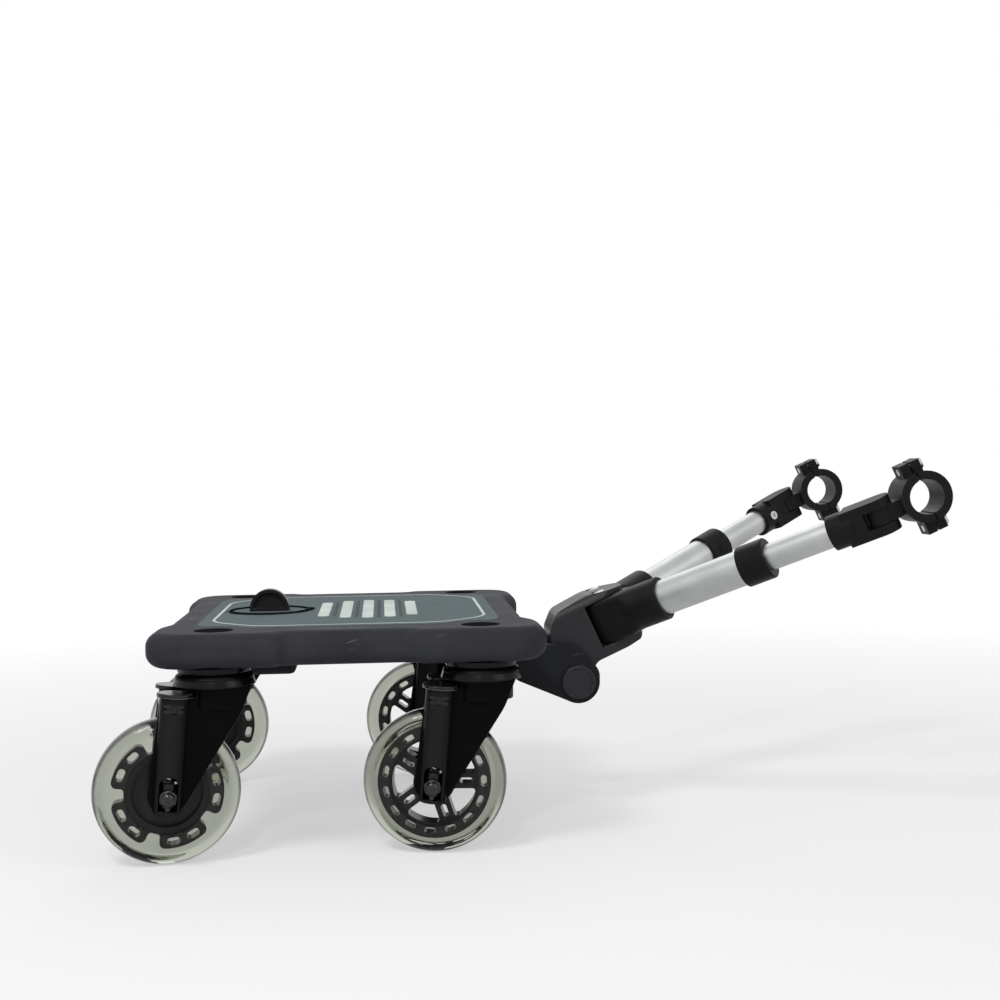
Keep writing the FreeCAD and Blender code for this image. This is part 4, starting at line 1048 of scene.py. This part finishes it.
@dataclass
class Caster:
    """One sprung caster with its clear wheel."""

    frame: Frame
    end: End
    side: Side
    fork_colour: Colour = (0.003, 0.003, 0.0034)
    fork_roughness: float = 0.2
    fork_relief: float = 0.00001
    fork_gloss: float = 0.03
    tyre_radius: float = 0.05
    tyre_width: float = 0.025
    tyre_inner_width: float = 0.021
    tyre_shoulder: float = 0.0102
    tyre_inner: dict[End, float] = field(default_factory=lambda: {End.REAR: 0.0286, End.FRONT: 0.031})
    ring_steps: int = 96
    spring_mean_radius: float = 0.0045
    spring_wire_radius: float = 0.0009
    spring_turns: int = 7
    travel: float = 0.008
    bell_inner: float = 0.0245
    bell_top: float = 0.0263
    bell_foot: float = 0.0287
    bell_height: float = 0.0068
    bell_drop: float = 0.0041
    bell_rounding: float = 0.0011
    toe_radius: float = 0.0094
    toe_height: float = 0.0026
    toe_rounding: float = 0.0023
    toe_drop: float = 0.009
    toe_sides: int = 48
    strut_offset: float = 0.0206
    cheek_inner: float = 0.0132
    nut_radius: float = 0.0062
    nut_height: float = 0.0042
    nut_rounding: float = 0.0005
    nut_reach: float = 0.0262
    nut_sides: int = 6
    dome_radius: float = 0.0046
    dome_height: float = 0.0038
    dome_rounding: float = 0.0035
    dome_sides: int = 32
    stud_radius: float = 0.0017
    stud_height: float = 0.0036
    stud_rounding: float = 0.0006
    stud_drop: float = 0.0071
    stud_sides: int = 20

    @property
    def name(self) -> str:
        """The caster's name, such as rear_right."""
        return f"{self.end.value}_{self.side.value}"

    @property
    def axle(self) -> Vector:
        """The direction of the axle."""
        return self.frame.axis(f"{self.name}_roll")

    @property
    def strut(self) -> Vector:
        """The direction of the struts."""
        return self.frame.axis(f"{self.name}_suspension")

    @property
    def wheel(self) -> Vector:
        """The middle of the wheel."""
        return self.frame.pivot(f"{self.name}_roll")

    @property
    def swivel(self) -> Vector:
        """The place of the swivel."""
        return self.frame.pivot(f"{self.name}_swivel")

    def build(self) -> None:
        """Dresses the solids and makes the tyre, the springs and the fork's small forms."""
        # the fork's finish paints a highlight along the struts' fronts
        fork = PaintedHighlightMoulded(f"{self.name}_fork_black", self.fork_colour, self.fork_roughness,
                             relief=self.fork_relief, gloss=self.fork_gloss, middle=tuple(self.swivel),
                             facing=tuple(self.axle))
        for piece, finish in (("fork", fork), ("strut_caps", PALETTE.strut_cap),
                              ("axle_shoes", PALETTE.strut), ("axle", PALETTE.nut), ("hub", PALETTE.hub),
                              ("bearings", PALETTE.steel)):
            self.frame.dress(f"{self.name}_{piece}", finish)
        self.make_tyre()
        self.make_springs()
        self.make_bell()
        self.make_toes(fork)
        self.make_nuts()

    def make_bell(self) -> bpy.types.Object:
        """The bell-shaped skirt of the fork's collar.

        Returns:
            The piece.
        """
        half = self.bell_height / 2.0
        profile = [(self.bell_inner, -half), (self.bell_inner, half), (self.bell_top, half),
                   (self.bell_foot, -half)]
        rounding = [0.0, 0.0, self.bell_rounding, self.bell_rounding]
        work = upended(spun_ring(profile, rounding, self.ring_steps))
        bmesh.ops.translate(work, verts=work.verts, vec=self.swivel - Vector((0.0, 0.0, self.bell_drop)))
        return settle(work, f"{self.name}_collar_bell", PALETTE.cup, f"{self.name}_fork")

    def make_toes(self, finish: Finish) -> bpy.types.Object:
        """The rounded ends that close the two struts below the axle.

        Args:
            finish: the fork's finish.

        Returns:
            The piece.
        """
        drafts = []
        for sign in BOTH_WAYS:
            out = self.axle * sign
            toe = stand(button(self.toe_radius, self.toe_height, self.toe_rounding, self.toe_sides),
                        self.wheel + out * self.strut_offset - self.strut * self.toe_drop, -self.strut)
            bmesh.ops.bisect_plane(toe, geom=toe.verts[:] + toe.edges[:] + toe.faces[:],
                                   plane_co=self.wheel + out * self.cheek_inner, plane_no=out,
                                   clear_inner=True)
            drafts.append(closed(toe))
        return settle(gather(drafts), f"{self.name}_strut_toes", finish, f"{self.name}_fork")

    def make_nuts(self) -> bpy.types.Object:
        """A domed nut and a small stud below it on each end of the axle.

        Returns:
            The piece.
        """
        drafts = []
        for sign in BOTH_WAYS:
            out = self.axle * sign
            seat = self.wheel + out * self.nut_reach
            dome_seat = self.wheel + out * (self.nut_reach + self.nut_height - self.nut_rounding)
            stud_seat = self.wheel - self.strut * self.stud_drop + out * self.nut_reach
            nut = button(self.nut_radius, self.nut_height, self.nut_rounding, self.nut_sides)
            dome = button(self.dome_radius, self.dome_height, self.dome_rounding, self.dome_sides)
            stud = button(self.stud_radius, self.stud_height, self.stud_rounding, self.stud_sides)
            drafts += [stand(nut, seat, out), stand(dome, dome_seat, out), stand(stud, stud_seat, out)]
        return settle(gather(drafts), f"{self.name}_nuts", PALETTE.nut, f"{self.name}_carrier")

    def make_tyre(self) -> bpy.types.Object:
        """A clear cast tyre round the hub's rim.

        Returns:
            The piece.
        """
        inner = self.tyre_inner[self.end]
        half_inner = self.tyre_inner_width / 2.0
        half_outer = self.tyre_width / 2.0
        profile = [(inner, -half_inner), (inner, half_inner), (self.tyre_radius, half_outer),
                   (self.tyre_radius, -half_outer)]
        work = spun_ring(profile, [0.0, 0.0, self.tyre_shoulder, self.tyre_shoulder], self.ring_steps)
        tread = work.verts.layers.float.new(TREAD)
        for vert in work.verts:
            vert[tread] = math.hypot(vert.co.x, vert.co.z) / self.tyre_radius
        turn = Vector((0.0, 1.0, 0.0)).rotation_difference(self.axle).to_matrix().to_4x4()
        bmesh.ops.transform(work, matrix=Matrix.Translation(self.wheel) @ turn, verts=work.verts)
        return settle(work, f"{self.name}_clear_tyre", PALETTE.clear, f"{self.name}_wheel",
                      (f"{self.name}_tyre",))

    def make_springs(self) -> bpy.types.Object:
        """The two coil springs inside the struts, which ride on the fork.

        Returns:
            The piece.
        """
        node = f"{self.name}_strut_springs"
        low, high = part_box(node)
        strut = self.strut
        reach = (high.z - low.z - 2.0 * self.spring_wire_radius) / strut.z
        foot = self.wheel + strut * ((low.z + self.spring_wire_radius - self.wheel.z) / strut.z)
        across = ((high - low).length_squared - (high.z - low.z) ** 2) ** 0.5
        offset = across / 2.0 - self.spring_mean_radius - self.spring_wire_radius
        coils = [stand(coil(self.spring_mean_radius, self.spring_wire_radius, reach, self.spring_turns),
                       foot + self.axle * (sign * offset), strut) for sign in BOTH_WAYS]
        piece = settle(gather(coils), f"{self.name}_coils", PALETTE.wire, f"{self.name}_fork",
                       (node,))
        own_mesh(piece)
        return piece


@dataclass
class Coupling:
    """The hinge under the deck and the tilting yoke."""

    frame: Frame
    web_back: float = 0.015
    web_nose: float = 0.0068
    web_thickness: float = 0.0034
    web_half_height: float = 0.0172
    web_rounding: float = 0.0012
    web_segments: int = 6

    def build(self) -> None:
        """Dresses the solids and makes the yoke's web."""
        for node, finish in (("hinge_bracket", PALETTE.bracket), ("yoke", PALETTE.coupling),
                             ("hinge_pin", PALETTE.coupling), ("bracket_screws", PALETTE.steel),
                             ("arm_pins", PALETTE.steel)):
            self.frame.dress(node, finish)
        self.make_web()

    def make_web(self) -> bpy.types.Object:
        """The round-nosed rib at the back of the yoke's slot, between the two arms.

        Returns:
            The piece.
        """
        work = bmesh.new()
        bmesh.ops.create_grid(work, x_segments=1, y_segments=1, size=0.5)
        bmesh.ops.scale(work, verts=work.verts, vec=(self.web_back - self.web_nose, self.web_thickness, 1.0))
        nose = [vert for vert in work.verts if vert.co.x > 0.0]
        rounded(work, nose, self.web_rounding, self.web_segments, Rounding.CORNERS)
        raised(work, 2.0 * self.web_half_height)
        pivot = (self.frame.pivot("right_spread") + self.frame.pivot("left_spread")) / 2.0
        up = self.frame.axis("right_spread")
        up = up if up.z > 0.0 else -up
        ahead = self.frame.axis("board_hinge").cross(up)
        ahead = ahead if ahead.x > 0.0 else -ahead
        foot = pivot - ahead * ((self.web_back + self.web_nose) / 2.0) - up * self.web_half_height
        bmesh.ops.transform(work, matrix=placing(foot, ahead, up.cross(ahead), up), verts=work.verts)
        return settle(work, "yoke_web", PALETTE.coupling, "yoke")


@dataclass
class Arm:
    """One telescopic arm with the clamp on its end."""

    frame: Frame
    side: Side
    tube_colour: Colour = (0.43, 0.445, 0.44)
    tube_roughness: float = 0.4
    socket_seat: float = 0.02
    socket_length: float = 0.049
    socket_bore: float = 0.0136
    socket_sides: int = 72
    socket_smooth: float = 26.0
    sleeve_radius: float = 0.017
    sleeve_start: float = 0.026
    sleeve_rounding: float = 0.0011
    sleeve_segments: int = 4
    lip_angle: float = 60.0
    knuckle_front: float = 0.018
    knuckle_half_width: float = 0.0129
    knuckle_half_height: float = 0.0169
    knuckle_squareness: float = 9.0
    knuckle_turn: float = 82.0
    knuckle_steps: int = 8
    screw_place: float = 0.197
    screw_seat: float = 0.0124
    screw_radius: float = 0.0036
    screw_height: float = 0.0018
    cross_reach: float = 0.0021
    cross_slot: float = 0.0005
    cross_depth: float = 0.0011

    @property
    def name(self) -> str:
        """The arm's name, right or left."""
        return self.side.value

    @property
    def along(self) -> Vector:
        """The direction of the tubes, outwards."""
        return self.frame.axis(f"{self.name}_telescope")

    @property
    def across(self) -> Vector:
        """The direction square to the tubes in the plane of the spread."""
        return self.frame.axis(f"{self.name}_spread").cross(self.along).normalized()

    @property
    def pivot(self) -> Vector:
        """The place of the arm's pin."""
        return self.frame.pivot(f"{self.name}_spread")

    def build(self) -> None:
        """Dresses the solids and makes the socket and the end fitting's screw."""
        tube = BrushedMetal(f"tube_aluminium_{self.name}", self.tube_colour, self.tube_roughness,
                            run=tuple(self.along))
        for piece, finish in (("arm_socket", PALETTE.socket), ("outer_tube", tube),
                              ("tube_collar", PALETTE.socket), ("inner_tube", tube),
                              ("end_fitting", PALETTE.socket), ("clamp_body", PALETTE.socket),
                              ("clamp_cap", PALETTE.socket), ("clamp_screws", PALETTE.steel)):
            self.frame.dress(f"{self.name}_{piece}", finish)
        self.make_socket()
        self.make_screw()

    def make_socket(self) -> bpy.types.Object:
        """The moulded socket: a flat-sided knuckle that swells into a round sleeve for the tube.

        Returns:
            The piece.
        """
        work = bmesh.new()
        bmesh.ops.create_circle(work, cap_ends=True, segments=self.socket_sides, radius=self.socket_bore)
        bmesh.ops.translate(work, verts=work.verts, vec=(0.0, 0.0, self.socket_seat))
        drawn(work, self.socket_length - self.socket_seat)
        drawn(work, 0.0, self.sleeve_radius / self.socket_bore, self.sleeve_radius / self.socket_bore)
        drawn(work, self.sleeve_start - self.socket_length)
        for vert in drawn(work, self.knuckle_front - self.sleeve_start):
            vert.co.x = self.knuckle_half_width * self.squared(vert.co.x / self.sleeve_radius)
            vert.co.y = self.knuckle_half_height * self.squared(vert.co.y / self.sleeve_radius)
        drawn(work, -self.knuckle_front)
        turns = [math.radians(self.knuckle_turn) * step / self.knuckle_steps
                 for step in range(self.knuckle_steps + 1)]
        for before, after in zip(turns, turns[1:]):
            drawn(work, self.knuckle_half_width * (math.sin(before) - math.sin(after)),
                  math.cos(after) / math.cos(before))
        closed(work)
        lips = [edge for edge in work.edges if edge.calc_face_angle(0.0) > math.radians(self.lip_angle)
                and all(abs(vert.co.z - self.socket_length) < self.sleeve_rounding for vert in edge.verts)]
        rounded(work, lips, self.sleeve_rounding, self.sleeve_segments)
        place = placing(self.pivot, self.across, self.along.cross(self.across), self.along)
        bmesh.ops.transform(work, matrix=place, verts=work.verts)
        return settle(work, f"{self.name}_socket_shell", PALETTE.socket, f"{self.name}_arm",
                      (f"{self.name}_arm_socket",), smooth=self.socket_smooth)

    def squared(self, reach: float) -> float:
        """Where a point of a circle goes on a rounded square, from -1 to 1."""
        return math.copysign(abs(reach) ** (2.0 / self.knuckle_squareness), reach)

    def make_screw(self) -> bpy.types.Object:
        """The cross-recessed screw that holds the end fitting on the inner tube.

        Returns:
            The piece.
        """
        inward = -self.across
        foot = self.pivot + self.along * self.screw_place + inward * self.screw_seat
        head = screw_head(self.screw_radius, self.screw_height, self.cross_reach, self.cross_slot,
                          self.cross_depth)
        return settle(stand(head, foot, inward), f"{self.name}_fitting_screw", PALETTE.steel,
                      f"{self.name}_slider")


def sight_rays(tree: bpy.types.NodeTree) -> Socket:
    """Tells the rays that show a background, straight or in metal and glass, from those that only light.

    Args:
        tree: the node tree of the background.

    Returns:
        A value of 1 for a ray that shows it and 0 for another.
    """
    rays = tree.nodes.new("ShaderNodeLightPath")
    seen = rays.outputs["Is Camera Ray"]
    for name in ("Is Glossy Ray", "Is Transmission Ray"):
        either = tree.nodes.new("ShaderNodeMath")
        either.operation = "MAXIMUM"
        tree.links.new(seen, either.inputs[0])
        tree.links.new(rays.outputs[name], either.inputs[1])
        seen = either.outputs["Value"]
    return seen


@dataclass(frozen=True)
class Lamp:
    """A soft lamp: its place from the middle of the deck, its width and its power in watts."""

    name: str
    place: tuple[float, float, float]
    size: float
    power: float


@dataclass
class Studio:
    """Plain pale floor, soft light and the photograph's camera."""

    frame: Frame
    camera_offset: tuple[float, float, float] = (0.0246, -1.1694, 0.2719)
    camera_yaw: float = 4.52
    camera_pitch: float = 1.52
    camera_roll: float = 0.86
    camera_lens: float = 54.0
    floor_reach: float = 8.0
    floor_colour: Colour = (0.86, 0.86, 0.86)
    floor_roughness: float = 0.9
    near_whiteness: float = 0.5
    fade_start: float = 0.45
    fade_end: float = 1.3
    world_light: float = 0.4
    lamps: tuple[Lamp, ...] = (Lamp("key", (-0.75, -1.05, 1.65), 0.5, 16.5),
                               Lamp("fill", (1.4, -1.1, 1.0), 0.9, 5.0),
                               Lamp("back", (0.1, 1.6, 1.5), 1.4, 8.0),
                               Lamp("spark", (-0.2, -1.2, 0.9), 0.1, 3.0))

    def build(self) -> None:
        """Makes the stage, the world, the lamps and the camera."""
        scene = bpy.context.scene
        scene.view_settings.view_transform = "Standard"
        self.make_floor()
        self.make_world(scene)
        for lamp in self.lamps:
            self.hang(lamp)
        self.make_camera(scene)

    def make_floor(self) -> None:
        """A pale floor that looks whiter away from the board."""
        work = bmesh.new()
        bmesh.ops.create_grid(work, x_segments=1, y_segments=1, size=self.floor_reach)
        mesh = bpy.data.meshes.new("floor")
        work.to_mesh(mesh)
        work.free()
        material = bpy.data.materials.new("pale_floor")
        material.use_nodes = True
        bench = ShaderBench(material)
        bench.give(Base_Color=(*self.floor_colour, 1.0), Roughness=self.floor_roughness,
                   Specular_IOR_Level=0.0)
        reach = bench.add("ShaderNodeVectorMath", operation="LENGTH")
        bench.join(bench.place, reach.inputs[0])
        whiteness = bench.spread(reach.outputs["Value"], self.fade_start, self.fade_end, self.near_whiteness)
        share = bench.product(whiteness, sight_rays(bench.tree))
        white = bench.add("ShaderNodeEmission")
        mixed = bench.add("ShaderNodeMixShader")
        bench.join(share, mixed.inputs[0])
        bench.join(bench.shader.outputs["BSDF"], mixed.inputs[1])
        bench.join(white.outputs["Emission"], mixed.inputs[2])
        bench.join(mixed.outputs["Shader"], bench.tree.nodes["Material Output"].inputs["Surface"])
        mesh.materials.append(material)
        floor = bpy.data.objects.new("floor", mesh)
        bpy.context.scene.collection.objects.link(floor)
        floor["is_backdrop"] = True

    def make_world(self, scene: bpy.types.Scene) -> None:
        """A world that looks white and lights softly.

        Args:
            scene: the scene.
        """
        world = bpy.data.worlds.new("studio")
        scene.world = world
        world.use_nodes = True
        tree = world.node_tree
        sky = tree.nodes["Background"]
        sky.inputs["Color"].default_value = (1.0, 1.0, 1.0, 1.0)
        strength = tree.nodes.new("ShaderNodeMapRange")
        strength.inputs["To Min"].default_value = self.world_light
        strength.inputs["To Max"].default_value = 1.0
        tree.links.new(sight_rays(tree), strength.inputs["Value"])
        tree.links.new(strength.outputs["Result"], sky.inputs["Strength"])

    def hang(self, lamp: Lamp) -> None:
        """Hangs a lamp that faces the deck.

        Args:
            lamp: the lamp.
        """
        data = bpy.data.lights.new(lamp.name, "AREA")
        data.size = lamp.size
        data.energy = lamp.power
        light = bpy.data.objects.new(lamp.name, data)
        place = Vector(lamp.place)
        light.matrix_world = (Matrix.Translation(self.frame.middle("deck_shell") + place)
                              @ (-place).to_track_quat("-Z", "Y").to_matrix().to_4x4())
        bpy.context.scene.collection.objects.link(light)

    def make_camera(self, scene: bpy.types.Scene) -> None:
        """The photograph's viewpoint.

        Args:
            scene: the scene.
        """
        angles = (self.camera_yaw, self.camera_pitch, self.camera_roll)
        yaw, pitch, roll = (math.radians(angle) for angle in angles)
        level_right = Vector((math.cos(yaw), -math.sin(yaw), 0.0))
        level_ahead = Vector((math.sin(yaw), math.cos(yaw), 0.0))
        up = Vector((0.0, 0.0, 1.0))
        ahead = level_ahead * math.cos(pitch) - up * math.sin(pitch)
        down = -level_ahead * math.sin(pitch) - up * math.cos(pitch)
        right = level_right * math.cos(roll) + down * math.sin(roll)
        below = down * math.cos(roll) - level_right * math.sin(roll)
        data = bpy.data.cameras.new("viewpoint")
        data.lens = self.camera_lens
        camera = bpy.data.objects.new("viewpoint", data)
        deck = self.frame.middle("deck_shell")
        place = Vector((deck.x, deck.y, 0.0)) + Vector(self.camera_offset)
        camera.matrix_world = placing(place, right, -below, -ahead)
        scene.collection.objects.link(camera)
        scene.camera = camera


def main() -> None:
    """Builds the dressed board and its stage."""
    logging.basicConfig(level=logging.INFO, format="%(name)s: %(message)s")
    for default in list(bpy.data.objects):
        bpy.data.objects.remove(default)
    frame = Frame()
    Deck(frame).build()
    TwistPlug(frame).build()
    for end in End:
        for side in Side:
            Caster(frame, end, side).build()
    Coupling(frame).build()
    for side in Side:
        Arm(frame, side).build()
    Studio(frame).build()


if __name__ == "__main__":
    main()
